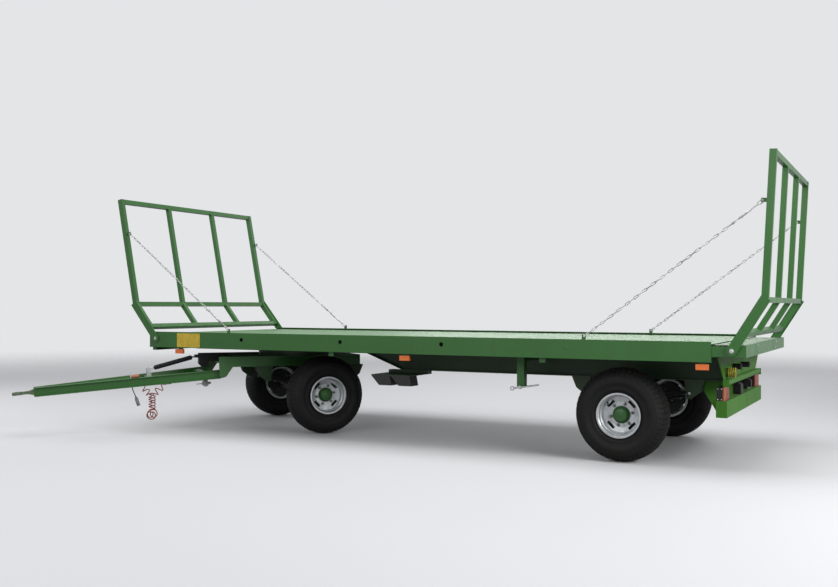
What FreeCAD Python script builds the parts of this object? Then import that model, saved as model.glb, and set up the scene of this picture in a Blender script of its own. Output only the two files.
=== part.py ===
import FreeCAD
import Part
import Sketcher
import math
import os

# Two-axle flat hay wagon with a turntable front axle, an A-shaped drawbar and a bale rack at each end.
# +X points to the drawbar end of the deck, +Y to the left, +Z up. The origin is the middle of the deck's top.
# All sizes are in millimetres and angles in degrees.

SIZES = {
    # deck and side rails
    "platform_length": 6410,
    "platform_width": 2500,
    "ground_drop": 1110,
    "rail_height": 180,
    "rail_upstand": 22,
    "rail_flange": 50,
    "rail_wall": 6,
    "rail_hole_radius": 23,
    "rail_hole_drop": 53,
    "rail_hole_inner_x": 590,
    "rail_hole_outer_x": 1880,
    "rail_hole_back": 10,
    "rail_tab_front_x": 715,
    "rail_tab_rear_x": -1645,
    "rail_tab_length": 60,
    "rail_tab_wall": 8,
    "rail_tab_height": 46,
    "rail_tab_inset": 40,
    "deck_sheet": 4,
    "deck_gap": 2,
    "cross_height": 80,
    "cross_width": 60,
    "cross_inset": 440,
    "front_beam_height": 190,
    "front_beam_depth": 60,
    # main beams
    "beam_y": 450,
    "beam_width": 90,
    "beam_web": 8,
    "beam_flange": 10,
    "beam_deep_drop": 375,
    "beam_shallow_drop": 205,
    "beam_step_gap": 1245,
    "beam_step_length": 450,
    # wheels
    "rear_axle_inset": 855,
    "turntable_inset": 1260,
    "steer_angle": 51,
    "half_track": 982,
    "tyre_radius": 435,
    "tyre_width": 344,
    "crown_half": 34,
    "tread_inner_half": 84,
    "tread_inner_radius": 421,
    "shoulder_radius": 402,
    "shoulder_half": 124,
    "upper_side_radius": 370,
    "upper_side_half": 156,
    "sidewall_high_radius": 338,
    "sidewall_low_radius": 292,
    "bead_radius": 234,
    "bead_lip": 6,
    "bead_bulge": 14,
    "rim_seat_radius": 194,
    "rim_flange_radius": 208,
    "rim_width": 294,
    "rim_wall": 9,
    "flange_lip": 14,
    "well_front": 96,
    "disc_offset": 18,
    "disc_wall": 10,
    "disc_bore_radius": 80,
    "slot_circle_radius": 141,
    "slot_width": 28,
    "slot_length": 84,
    "slot_angle": 45,
    "well_rise": 10,
    "dish_reach": 22,
    "dish_depth": 14,
    "hub_flange_radius": 125,
    "hub_barrel_radius": 60,
    "hub_cap_radius": 78,
    "hub_cap_height": 48,
    "hub_cap_lip": 25,
    "hub_cap_slope": 22,
    "hub_shoulder": 10,
    "hub_flange_wall": 20,
    "hub_recess": 12,
    "drum_radius": 165,
    "drum_width": 90,
    "drum_inset": 150,
    "spindle_radius": 35,
    "running_fit": 0.05,
    "seat_gap": 0.3,
    # axles and springs
    "axle_square": 90,
    "axle_inset": 175,
    "brake_plate": 6,
    "brake_gap": 5,
    "spring_half_length": 505,
    "spring_width": 70,
    "spring_rise": 45,
    "leaf_thickness": 10,
    "spring_eye_radius": 24,
    "spring_clamp": 15,
    "hanger_wall": 10,
    "hanger_reach": 150,
    "hanger_throat": 48,
    "hanger_heel": 105,
    "hanger_web_drop": 110,
    "hanger_web_x": 60,
    "hanger_toe": 30,
    # turntable and carriage
    "ring_radius": 500,
    "ring_inner_radius": 380,
    "ring_plate": 12,
    "ring_height": 54,
    "ring_clearance": 5,
    "race_width": 24,
    "carriage_y": 414,
    "carriage_width": 60,
    "carriage_height": 118,
    "carriage_rear_x": -620,
    "carriage_side_front_x": 985,
    "carriage_cross": 80,
    "carriage_cross_rise": 20,
    "carriage_cross_rear_x": -260,
    "carriage_cross_front_x": 180,
    "nose_width": 80,
    "nose_height": 100,
    "nose_rise": 29,
    "nose_rear_x": 520,
    "nose_front_x": 1235,
    "ear_overlap": 30,
    "ear_half": 18,
    "stop_rear_x": 1117,
    "stop_foot_rear_x": 1140,
    "stop_foot_front_x": 1196,
    "stop_drop": 62,
    "stop_lip": 22,
    "lug_wall": 12,
    "lug_length": 160,
    "lug_front_x": 1085,
    "lug_tip_inset": 8,
    "lug_tip_drop": 20,
    "lug_foot_drop": 46,
    "lug_foot_front": 18,
    "lug_foot_rear": 30,
    "lug_heel_drop": 30,
    "hinge_x": 1030,
    "hinge_drop": 455,
    "hinge_pin_radius": 14,
    "hinge_eye_radius": 36,
    "hinge_side_gap": 1,
    "hinge_pin_reach": 14,
    "hinge_eye_reach": 10,
    "bore_margin": 60,
    # drawbar
    "drawbar_pitch": 4.9,
    "arm_length": 2000,
    "arm_height": 100,
    "arm_flange": 42,
    "arm_wall": 8,
    "arm_rear_y": 370,
    "arm_front_y": 40,
    "arm_rear_x": 20,
    "tie_x": 770,
    "tie_rear_x": 170,
    "tie_width": 60,
    "tie_height": 60,
    "nose_block_length": 110,
    "nose_block_width": 104,
    "nose_block_lip": 10,
    "nose_block_inset": 5,
    "neck_root_half": 40,
    "neck_root_height": 30,
    "neck_length": 60,
    "neck_half": 22,
    "neck_overlap": 30,
    "eye_reach": 181,
    "eye_radius": 50,
    "eye_bore_radius": 25,
    "eye_thickness": 32,
    # balance spring
    "coil_radius": 24,
    "coil_upper_x": 234,
    "coil_upper_z": 189,
    "bracket_pin_z": 112,
    "hook_radius": 16,
    "hook_width": 18,
    "hook_stem_radius": 8,
    "ring_hook_radius": 25,
    "ring_hook_wall": 7,
    "ring_hook_pin": 7,
    "upper_stem": 45,
    "lower_stem": 62,
    "spring_pin_radius": 8,
    "bracket_wall": 8,
    "bracket_gap": 34,
    "bracket_foot_half": 28,
    "bracket_head_half": 18,
    "bracket_head_rise": 16,
    # bale racks
    "rack_pin_inset": 95,
    "rack_pin_overhang": 173,
    "rack_pin_proud": 8,
    "rack_pin_drop": 55,
    "rack_pin_radius": 12,
    "rack_leg": 517,
    "rack_post": 1276,
    "rack_bend": 28.4,
    "rack_front_lean": 11.4,
    "rack_rear_lean": 3.2,
    "rack_side_gap": 3,
    "rack_plate_wall": 10,
    "rack_plate_width": 88,
    "rack_plate_overlap": 20,
    "rack_tube": 50,
    "rack_post_depth": 60,
    "rack_lower_rail": 175,
    "chain_ring_height": 845,
    "chain_ring_reach": 30,
    "chain_anchor_inset": 1147,
    "chain_anchor_z": 48,
    "chain_inset": 25,
    "chain_wire": 7,
    "chain_link_half": 12.5,
    "chain_eye_length": 56,
    "chain_eye_half": 17,
    "chain_rod_radius": 6,
    "front_rod_length": 425,
    "rear_rod_length": 370,
    "chain_lug_wall": 7,
    "chain_lug_half": 18,
    # rear extension
    "slide_height": 90,
    "slide_width": 50,
    "slide_drop": 20,
    "slide_inset": 13,
    "slide_grip": 600,
    "rear_reach": 290,
    "rear_beam_depth": 60,
    "rear_beam_height": 112,
    "extension_sheet_drop": 8,
    "guide_wall": 5,
    # bumper and lamps
    "bumper_drop": 660,
    "bumper_height": 149,
    "bumper_depth": 95,
    "bumper_half_length": 1000,
    "bumper_overhang": 88,
    "stay_wall": 12,
    "stay_foot_inset": 105,
    "panel_wall": 8,
    "panel_overhang": 45,
    "panel_top_half_width": 1180,
    "panel_top_drop": 118,
    "panel_low_inset": 130,
    "panel_low_drop": 360,
    "tube_radius": 27,
    "tube_drop": 355,
    "tube_inset": 60,
    "weld_depth": 2,
    "tube_strap": 10,
    "lamp_width": 250,
    "lamp_height": 119,
    "lamp_depth": 67,
    "lamp_inset": 24,
    "lens_wall": 12,
    "cap_y": 800,
    "cap_drop": 268,
    "cap_radius": 40,
    "cap_length": 92,
    "socket_radius": 27,
    "socket_length": 70,
    "socket_left_y": 450,
    "socket_left_drop": 232,
    "socket_right_y": -20,
    "socket_right_drop": 238,
    "buffer_y": 155,
    "buffer_width": 130,
    "buffer_front_inset": 78,
    "buffer_depth": 70,
    "buffer_height": 112,
    "junction_width": 60,
    "junction_rise": 26,
    "buffer_chamfer": 22,
    # small parts
    "marker_length": 110,
    "marker_height": 50,
    "marker_depth": 30,
    "marker_inset": 12,
    "marker_drop": 18,
    "marker_tab_wall": 4,
    "marker_tab_half": 34,
    "marker_front_inset": 432,
    "marker_middle_back": 178,
    "marker_rear_inset": 80,
    "column_gap": 1032,
    "column_y": 900,
    "column_side": 76,
    "column_drop": 465,
    "column_arm_height": 110,
    "column_arm_drop": 20,
    "crank_drop": 470,
    "crank_reach": 22,
    "crank_hub_radius": 17,
    "crank_rod_radius": 8,
    "crank_front": 80,
    "crank_rear": 200,
    "crank_slope": 9,
    "crank_ring_radius": 22,
    "crank_ring_wall": 10,
    "chock_back": 75,
    "chock_y": 800,
    "chock_length": 250,
    "chock_foot": 152,
    "chock_slope": 21,
    "chock_width": 160,
    "chock_drop": 517,
    "chock_pitch": 238,
    "holder_wall": 8,
    "holder_drop": 30,
    "tank_radius": 123,
    "tank_length": 620,
    "tank_drop": 235,
    "tank_strap": 40,
    "tank_strap_depth": 50,
    # brake valve, hose holder and lamp cable on the drawbar
    "valve_y": 195,
    "valve_drop": 104,
    "valve_radius": 36,
    "valve_width": 64,
    "valve_neck_half": 24,
    "valve_plate": 8,
    "valve_lever_radius": 4,
    "valve_lever_reach": 99,
    "valve_port_radius": 13,
    "valve_port_reach": 62,
    "holder_x": 996,
    "holder_side": 12,
    "holder_height": 52,
    "holder_set_in": 14,
    "coupling_radius": 18,
    "coupling_length": 84,
    "cable_x": 985,
    "cable_y": 160,
    "cable_radius": 5,
    "cable_top": 30,
    "cable_length": 135,
    "cable_lean": 13,
    "plug_radius": 19,
    "plug_neck_radius": 11,
    "plug_neck_length": 26,
    "plug_length": 112,
    # hose bunch
    "bunch_x": 760,
    "bunch_gap": 31,
    "bunch_radius": 48,
    "bunch_top_drop": 672,
    "bunch_foot_drop": 966,
    "coil_leg_radius": 24,
    "front_leg_reach": 110,
    "front_leg_rise": 132,
    "rear_leg_reach": 178,
    "rear_leg_rise": 124,
    "hose_clip_length": 36,
    "hose_clip_height": 16,
}

LEAVES = 6
CROSS_MEMBERS = 8
SLOTS = 4
FRONT_LINKS = 29
REAR_LINKS = 33
SIDES = (("left", 1), ("right", -1))

doc = FreeCAD.newDocument("hay_wagon")
sheet = doc.addObject("Spreadsheet::Sheet", "sizes")


class Formula:
    """A number together with the spreadsheet expression that gives it."""

    def __init__(self, value, text):
        self.value = value
        self.text = text

    def joined(self, other, sign, value):
        return Formula(value, f"({self.text} {sign} {as_formula(other).text})")

    def __add__(self, other):
        return self.joined(other, "+", self.value + as_formula(other).value)

    def __sub__(self, other):
        return self.joined(other, "-", self.value - as_formula(other).value)

    def __mul__(self, other):
        return self.joined(other, "*", self.value * as_formula(other).value)

    def __truediv__(self, other):
        return self.joined(other, "/", self.value / as_formula(other).value)

    def __radd__(self, other):
        return as_formula(other) + self

    def __rsub__(self, other):
        return as_formula(other) - self

    def __rmul__(self, other):
        return as_formula(other) * self

    def __neg__(self):
        return Formula(-self.value, f"(-1 * {self.text})")


def as_formula(number):
    if isinstance(number, Formula):
        return number
    return Formula(number, f"({number!r})")


def function(name, result):
    def call(number):
        number = as_formula(number)
        return Formula(result(number.value), f"{name}({number.text})")
    return call


sin = function("sin", lambda degrees: math.sin(math.radians(degrees)))
cos = function("cos", lambda degrees: math.cos(math.radians(degrees)))
tan = function("tan", lambda degrees: math.tan(math.radians(degrees)))
sqrt = function("sqrt", math.sqrt)
arctan = function("atan", lambda ratio: math.degrees(math.atan(ratio)))


class Dimensions:
    """The driving dimensions, read as size.name."""


size = Dimensions()
for row, (alias, value) in enumerate(SIZES.items(), start=1):
    sheet.set(f"A{row}", alias)
    sheet.set(f"B{row}", str(value))
    sheet.setAlias(f"B{row}", alias)
    setattr(size, alias, Formula(value, f"sizes.{alias}"))
doc.recompute()

NODES = []


def bind(piece, prop, number):
    piece.setExpression(prop, as_formula(number).text)


def moved(x=0, y=0, z=0, axis=(0, 0, 1), angle=0):
    """Placement expression: a turn about axis, then a shift."""
    x, y, z, angle = (as_formula(number).text for number in (x, y, z, angle))
    turn = f"create(<<rotation>>; create(<<vector>>; {axis[0]}; {axis[1]}; {axis[2]}); {angle})"
    return f"create(<<placement>>; create(<<vector>>; {x}; {y}; {z}); {turn})"


def tilted(angle):
    """Placement expression: a turn about Y that takes +Z towards +X."""
    return moved(axis=(0, 1, 0), angle=angle)


def put(piece, *places):
    """Bind a piece's Placement to the product of the given places."""
    if places:
        piece.setExpression("Placement", " * ".join(places))
    return piece


def side_span(sign, near, far):
    """The stretch from near to far out from the middle, on one side."""
    return (near, far) if sign > 0 else (-as_formula(far), -as_formula(near))


def box(name, x, y, z, *places):
    """Box between two ends along each axis, then put at places."""
    piece = doc.addObject("Part::Box", name)
    for prop, (low, high) in zip(("Length", "Width", "Height"), (x, y, z)):
        bind(piece, prop, as_formula(high) - low)
    return put(piece, *places, moved(x[0], y[0], z[0]))


def rod(name, radius, length, *places):
    """Round bar along Z from its own origin, then put at places."""
    piece = doc.addObject("Part::Cylinder", name)
    bind(piece, "Radius", radius)
    bind(piece, "Height", length)
    return put(piece, *places)


def rod_y(name, radius, span, x=0, z=0, *places):
    """Round bar along Y between the two ends of span."""
    length = as_formula(span[1]) - span[0]
    return rod(name, radius, length, *places, moved(x, span[0], z, (1, 0, 0), -90))


def rod_x(name, radius, span, y=0, z=0, *places):
    """Round bar along X between the two ends of span."""
    length = as_formula(span[1]) - span[0]
    return rod(name, radius, length, *places, moved(span[0], y, z, (0, 1, 0), 90))


def fused(name, pieces, *places):
    """One solid of overlapping or touching pieces."""
    piece = doc.addObject("Part::MultiFuse", name)
    piece.Shapes = pieces
    return put(piece, *places)


def grouped(name, pieces, *places):
    """Several solids of one sub-part that don't touch."""
    piece = doc.addObject("Part::Compound", name)
    piece.Links = pieces
    return put(piece, *places)


def cut(name, base, tools, *places):
    piece = doc.addObject("Part::Cut", name)
    piece.Base = base
    piece.Tool = tools[0] if len(tools) == 1 else fused(name + "_tools", tools)
    return put(piece, *places)


def common(name, base, tool, *places):
    piece = doc.addObject("Part::Common", name)
    piece.Base = base
    piece.Tool = tool
    return put(piece, *places)


def outline(body, plane, points):
    """Closed sketch of straight lines on one of the body's planes, each corner bound to the sheet."""
    sketch = body.newObject("Sketcher::SketchObject", body.Name + "_outline")
    origin_plane = [feature for feature in body.Origin.OriginFeatures if feature.Role == plane][0]
    sketch.AttachmentSupport = [(origin_plane, "")]
    sketch.MapMode = "FlatFace"
    corners = [(as_formula(across), as_formula(up)) for across, up in points]
    count = len(corners)
    for index in range(count):
        start, end = corners[index], corners[(index + 1) % count]
        line = Part.LineSegment(FreeCAD.Vector(start[0].value, start[1].value, 0),
                                FreeCAD.Vector(end[0].value, end[1].value, 0))
        sketch.addGeometry(line, False)
    for index in range(count):
        sketch.addConstraint(Sketcher.Constraint("Coincident", index, 2, (index + 1) % count, 1))
    for index, corner in enumerate(corners):
        for kind, number in zip(("DistanceX", "DistanceY"), corner):
            constraint = sketch.addConstraint(Sketcher.Constraint(kind, -1, 1, index, 1, number.value))
            sketch.setExpression(f"Constraints[{constraint}]", number.text)
    return sketch


def plate(name, plane, points, wall, *places):
    """Flat plate cut to an outline, its middle plane on the sketch plane."""
    body = doc.addObject("PartDesign::Body", name)
    sketch = outline(body, plane, points)
    pad = body.newObject("PartDesign::Pad", name + "_pad")
    pad.Profile = sketch
    pad.Midplane = True
    bind(pad, "Length", wall)
    return put(body, *places)


def turned(name, points, *places):
    """Solid of revolution about Y from (radius, y) points."""
    body = doc.addObject("PartDesign::Body", name)
    sketch = outline(body, "XY_Plane", points)
    revolution = body.newObject("PartDesign::Revolution", name + "_turned")
    revolution.Profile = sketch
    revolution.ReferenceAxis = (sketch, ["V_Axis"])
    revolution.Angle = 360
    return put(body, *places)


def node(piece, label):
    piece.Label = label
    NODES.append(piece)


half_length = size.platform_length / 2
half_width = size.platform_width / 2
rear_axle_x = size.rear_axle_inset - half_length
turntable_x = half_length - size.turntable_inset
front_pin_x = half_length - size.rack_pin_inset
rear_pin_x = -(half_length + size.rack_pin_overhang)
chain_x = half_length - size.chain_anchor_inset
cross_pitch = (size.platform_length - 2 * size.cross_inset) / (CROSS_MEMBERS - 1)
beam_step_front_x = turntable_x - size.beam_step_gap
beam_step_rear_x = beam_step_front_x - size.beam_step_length
bumper_rear_x = -(half_length + size.bumper_overhang)
panel_rear_x = -(half_length + size.panel_overhang)
eye_x = size.arm_length + size.eye_reach
rail_bottom = size.rail_upstand - size.rail_height
cross_bottom = -(size.deck_sheet + size.cross_height)
ring_bottom = -(size.beam_shallow_drop + size.ring_height)
carriage_bottom = ring_bottom - size.carriage_height
wheel_z = size.tyre_radius - size.ground_drop
seat_z = wheel_z + size.axle_square / 2
spring_eye_z = seat_z + LEAVES * size.leaf_thickness + size.spring_rise
bumper_top = size.bumper_height - size.bumper_drop
slide_outer = half_width - size.slide_inset
slide_inner = slide_outer - size.slide_width
rack_y = half_width + size.rack_side_gap
lamp_top = bumper_top + size.lamp_height
marker_outer = half_width - size.marker_inset
marker_places = (("front", half_length - size.marker_front_inset), ("middle", -size.marker_middle_back),
                 ("rear", size.marker_rear_inset - half_length))
arm_lean = arctan((size.arm_rear_y - size.arm_front_y) / size.arm_length)


def arm_y(x):
    """How far from the drawbar's middle an arm's inner face lies, at x ahead of the hinge."""
    return size.arm_rear_y - x * tan(arm_lean)


bunch_front_x = size.bunch_x + size.front_leg_reach
bunch_rear_x = size.bunch_x - size.rear_leg_reach
bunch_y = arm_y(bunch_front_x) - size.bunch_gap
STEERED = moved(turntable_x, angle=size.steer_angle)
DRAWBAR = STEERED + " * " + moved(size.hinge_x, 0, -size.hinge_drop, (0, 1, 0), size.drawbar_pitch)
FRONT_RACK = moved(front_pin_x, 0, -size.rack_pin_drop) + " * " + tilted(size.rack_front_lean)
REAR_RACK = moved(rear_pin_x, 0, -size.rack_pin_drop, angle=180) + " * " + tilted(size.rack_rear_lean)


def deck():
    """Steel deck sheet on cross members between two channel side rails."""
    edge = half_width - size.rail_flange - size.deck_gap
    node(box("deck", (-half_length, half_length), (-edge, edge), (-size.deck_sheet, 0)), "deck_plate")
    front = box("front", (half_length - size.front_beam_depth, half_length), (-edge, edge),
                (-size.deck_sheet - size.front_beam_height, -size.deck_sheet))
    node(front, "front_beam")

    guide_inner = slide_inner - size.seat_gap - size.guide_wall
    members = []
    for index in range(CROSS_MEMBERS):
        x = (index - (CROSS_MEMBERS - 1) / 2) * cross_pitch
        reach = guide_inner if index == 0 else half_width - size.rail_wall
        members.append(box(f"cross_{index}", (x - size.cross_width / 2, x + size.cross_width / 2),
                           (-reach, reach), (cross_bottom, -size.deck_sheet)))
    node(grouped("members", members), "cross_members")


def chain_lug_span(sign):
    """Where the lugs stand across the wagon, just outside the chains."""
    inner = half_width - size.chain_inset + size.chain_wire / 2 + size.seat_gap
    return side_span(sign, inner, inner + size.chain_lug_wall)


def side_rails():
    """Channel rails, open inwards, with lashing holes in the web."""
    wall = size.rail_wall
    inner = half_width - size.rail_flange
    web = half_width - wall
    top = size.rail_upstand
    hole_places = (-size.rail_hole_outer_x, -size.rail_hole_inner_x, size.rail_hole_inner_x, size.rail_hole_outer_x)
    for side, sign in SIDES:
        points = [(inner, rail_bottom), (half_width, rail_bottom), (half_width, top), (inner, top),
                  (inner, top - wall), (web, top - wall), (web, rail_bottom + wall), (inner, rail_bottom + wall)]
        channel = plate(f"rail_channel_{side}", "YZ_Plane", [(sign * y, z) for y, z in points],
                        size.platform_length)
        holes = [rod_y(f"rail_hole_{side}_{index}", size.rail_hole_radius,
                       side_span(sign, web - wall, half_width + wall), x - size.rail_hole_back, -size.rail_hole_drop)
                 for index, x in enumerate(hole_places)]
        pierced = cut(f"rail_{side}", channel, holes)
        lug = chain_lug_span(sign)
        lugs = [box(f"rail_lug_{side}_{word}", (x - size.chain_lug_half, x + size.chain_lug_half), lug,
                    (top - wall, size.chain_anchor_z + size.chain_lug_half))
                for word, x in (("front", chain_x), ("rear", -chain_x))]
        tab_half = size.rail_tab_length / 2
        tab_outer = half_width - size.rail_tab_inset
        tabs = [box(f"rail_tab_{side}_{word}", (x - tab_half, x + tab_half),
                    side_span(sign, tab_outer - size.rail_tab_wall, tab_outer),
                    (rail_bottom - size.rail_tab_height, rail_bottom + wall))
                for word, x in (("front", size.rail_tab_front_x), ("rear", size.rail_tab_rear_x))]
        back = marker_outer - size.marker_depth - size.seat_gap
        tabs += [box(f"marker_tab_{side}_{word}", (x - size.marker_tab_half, x + size.marker_tab_half),
                     side_span(sign, back - size.marker_tab_wall, back),
                     (rail_bottom - size.marker_drop - size.marker_height, rail_bottom + wall))
                 for word, x in marker_places]
        node(fused(f"rail_piece_{side}", [pierced] + lugs + tabs), f"side_rail_{side}")


def main_beams():
    """Two welded I-beams, deep between the axles and shallow over the steered wheels."""
    front = half_length - size.front_beam_depth
    corners = [(-half_length, -size.beam_deep_drop), (beam_step_rear_x, -size.beam_deep_drop),
               (beam_step_front_x, -size.beam_shallow_drop), (front, -size.beam_shallow_drop)]
    raised = [(x, z + size.beam_flange) for x, z in corners]
    half = size.beam_width / 2
    beams = []
    for side, sign in SIDES:
        place = moved(0, sign * size.beam_y)
        web = plate(f"beam_web_{side}", "XZ_Plane", corners + [(front, cross_bottom), (-half_length, cross_bottom)],
                    size.beam_web, place)
        foot = plate(f"beam_foot_{side}", "XZ_Plane", corners + raised[::-1], size.beam_width, place)
        head = box(f"beam_head_{side}", (-half_length, front), (-half, half),
                   (cross_bottom - size.beam_flange, cross_bottom), place)
        beams.append(fused(f"beam_{side}", [web, foot, head]))
    node(grouped("beam_pair", beams), "main_beams")


def leaf_spring(name, *places):
    """Stack of curved leaves, longest on top, its underside at z = 0 and an eye at each end."""
    half = size.spring_half_length
    curve = (half * half + size.spring_rise * size.spring_rise) / (2 * size.spring_rise)
    centre = curve + LEAVES * size.leaf_thickness
    width = (-size.spring_width / 2, size.spring_width / 2)
    pieces = []
    for index in range(LEAVES):
        inner = curve + index * size.leaf_thickness
        bent = cut(f"{name}_bent_{index}",
                   rod_y(f"{name}_outer_{index}", inner + size.leaf_thickness, width, 0, centre),
                   [rod_y(f"{name}_inner_{index}", inner, width, 0, centre)])
        reach = half * (LEAVES - index) / LEAVES
        span = box(f"{name}_span_{index}", (-reach, reach), width, (0, half))
        pieces.append(common(f"{name}_leaf_{index}", bent, span))
    eye_z = LEAVES * size.leaf_thickness + size.spring_rise
    pieces += [rod_y(f"{name}_eye_{word}", size.spring_eye_radius, width, sign * half, eye_z)
               for word, sign in (("front", 1), ("rear", -1))]
    block = size.spring_width / 2 + size.spring_clamp
    pieces.append(box(f"{name}_clamp", (-block, block), (-block, block),
                      (0, LEAVES * size.leaf_thickness + size.spring_clamp)))
    return fused(name, pieces, *places)


def hanger(name, way, top, place):
    """Two cheek plates and a back web that carry one spring eye."""
    eye_x = way * size.spring_half_length
    radius = size.spring_eye_radius
    points = [(eye_x - way * size.hanger_throat, top), (eye_x + way * size.hanger_reach, top),
              (eye_x + way * size.hanger_heel, top - size.hanger_web_drop),
              (eye_x + way * radius / 2, spring_eye_z - size.hanger_toe),
              (eye_x - way * radius, spring_eye_z - radius), (eye_x - way * radius, spring_eye_z + radius)]
    inside = size.spring_width / 2 + size.seat_gap
    offset = inside + size.hanger_wall / 2
    cheeks = [plate(f"{name}_cheek_{word}", "XZ_Plane", points, size.hanger_wall, moved(0, sign * offset))
              for word, sign in SIDES]
    web_x = size.spring_half_length + size.hanger_web_x
    web = box(f"{name}_web", side_span(way, web_x, web_x + size.hanger_wall), (-inside, inside),
              (top - size.hanger_web_drop, top))
    return fused(name, cheeks + [web], place)


def suspension(end, place, across, top):
    """Axle on two leaf springs in their hangers."""
    half = size.axle_square / 2
    beam_end = size.half_track - size.axle_inset
    tip = size.half_track + size.disc_offset
    plate_y = size.half_track - size.drum_inset - size.brake_gap
    pieces = [box(end + "_axle_beam", (-half, half), (-beam_end, beam_end), (-half, half)),
              rod_y(end + "_spindle", size.spindle_radius, (-tip, tip))]
    pieces += [rod_y(f"{end}_brake_plate_{side}", size.drum_radius,
                     side_span(sign, plate_y - size.brake_plate, plate_y)) for side, sign in SIDES]
    node(fused(end + "_axle_piece", pieces, place, moved(0, 0, wheel_z)), end + "_axle")
    springs = [leaf_spring(f"{end}_spring_{side}", moved(0, sign * across, seat_z)) for side, sign in SIDES]
    node(grouped(end + "_spring_pair", springs, place), end + "_springs")
    hangers = [hanger(f"{end}_hanger_{side}_{word}", way, top, moved(0, sign * across))
               for side, sign in SIDES for word, way in (("front", 1), ("rear", -1))]
    node(grouped(end + "_hanger_set", hangers, place), end + "_spring_hangers")


def wheel(name, place):
    """Wide low-pressure tyre, dished steel rim and hub about their own Y axis, outer side towards +Y."""
    seat = size.rim_seat_radius
    edge = size.rim_width / 2
    bead = edge - size.flange_lip
    tyre_points = [(seat + size.seat_gap, bead - size.seat_gap),
                   (size.rim_flange_radius + size.bead_lip, bead - size.seat_gap),
                   (size.bead_radius, bead + size.bead_bulge),
                   (size.sidewall_low_radius, size.tyre_width / 2), (size.sidewall_high_radius, size.tyre_width / 2),
                   (size.upper_side_radius, size.upper_side_half), (size.shoulder_radius, size.shoulder_half),
                   (size.tread_inner_radius, size.tread_inner_half), (size.tyre_radius, size.crown_half)]
    tyre_points += [(across, -y) for across, y in tyre_points[::-1]]
    node(turned("tyre_piece_" + name, tyre_points, place), "tyre_" + name)

    inner = seat - size.rim_wall
    disc = size.disc_offset
    front = disc + size.disc_wall
    dish_low = size.slot_circle_radius - size.dish_reach
    dish_high = size.slot_circle_radius + size.dish_reach
    well = inner - size.well_rise
    rim_points = [(seat, -bead), (seat, bead), (size.rim_flange_radius, bead), (size.rim_flange_radius, edge),
                  (inner + size.rim_wall, edge), (inner, edge - size.rim_wall), (inner, size.well_front),
                  (well, size.well_front - size.well_rise), (well, front + size.dish_depth),
                  (dish_high, front + size.dish_depth), (dish_low, front), (size.disc_bore_radius, front),
                  (size.disc_bore_radius, disc), (dish_low, disc), (dish_high, disc + size.dish_depth),
                  (inner, disc + size.dish_depth), (inner, -edge), (size.rim_flange_radius, -edge),
                  (size.rim_flange_radius, -bead)]
    slot_x = (size.slot_circle_radius - size.slot_width / 2, size.slot_circle_radius + size.slot_width / 2)
    slots = [box(f"slot_{name}_{index}", slot_x, (0, edge), (-size.slot_length / 2, size.slot_length / 2),
                 tilted(size.slot_angle + index * 360 / SLOTS)) for index in range(SLOTS)]
    node(cut("rim_piece_" + name, turned("rim_solid_" + name, rim_points), slots, place), "rim_" + name)

    bore = size.spindle_radius + size.running_fit
    flange = disc - size.seat_gap
    drum_end = size.drum_width - size.drum_inset
    cap_top = flange + size.hub_cap_height
    hub_points = [(bore, -size.drum_inset), (size.drum_radius, -size.drum_inset), (size.drum_radius, drum_end),
                  (size.hub_barrel_radius + size.hub_shoulder, drum_end),
                  (size.hub_barrel_radius, drum_end + size.hub_shoulder),
                  (size.hub_barrel_radius, flange - size.hub_flange_wall - size.hub_shoulder),
                  (size.hub_flange_radius, flange - size.hub_flange_wall), (size.hub_flange_radius, flange),
                  (size.hub_cap_radius, flange), (size.hub_cap_radius, flange + size.hub_cap_lip),
                  (size.hub_cap_radius - size.hub_cap_slope, cap_top), (0, cap_top), (0, flange + size.hub_recess),
                  (bore, flange + size.hub_recess)]
    node(turned("hub_piece_" + name, hub_points, place), "hub_" + name)


def wheels():
    for end, place in (("front", STEERED), ("rear", moved(rear_axle_x))):
        for side, sign in SIDES:
            turn = moved(0, sign * size.half_track, wheel_z, angle=0 if sign > 0 else 180)
            wheel(f"{end}_{side}", place + " * " + turn)


def turntable_rings():
    """Upper ring fixed under the main beams, lower ring with its raised race on the carriage."""
    low = ring_bottom
    high = -size.beam_shallow_drop
    outer = size.ring_radius
    inner = size.ring_inner_radius
    wall = size.ring_plate
    race_inner = (outer + inner - size.race_width) / 2
    race_outer = race_inner + size.race_width
    skirt = low + wall + size.ring_clearance
    upper_points = [(inner, high - wall), (inner, high), (outer, high), (outer, skirt), (outer - wall, skirt),
                    (outer - wall, high - wall)]
    lower_points = [(inner, low), (outer, low), (outer, low + wall), (race_outer, low + wall),
                    (race_outer, high - wall - size.seat_gap), (race_inner, high - wall - size.seat_gap),
                    (race_inner, low + wall), (inner, low + wall)]
    upright = moved(axis=(1, 0, 0), angle=90)
    node(turned("upper_ring", upper_points, moved(turntable_x), upright), "turntable_upper_ring")
    node(turned("lower_ring", lower_points, STEERED, upright), "turntable_lower_ring")


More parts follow.
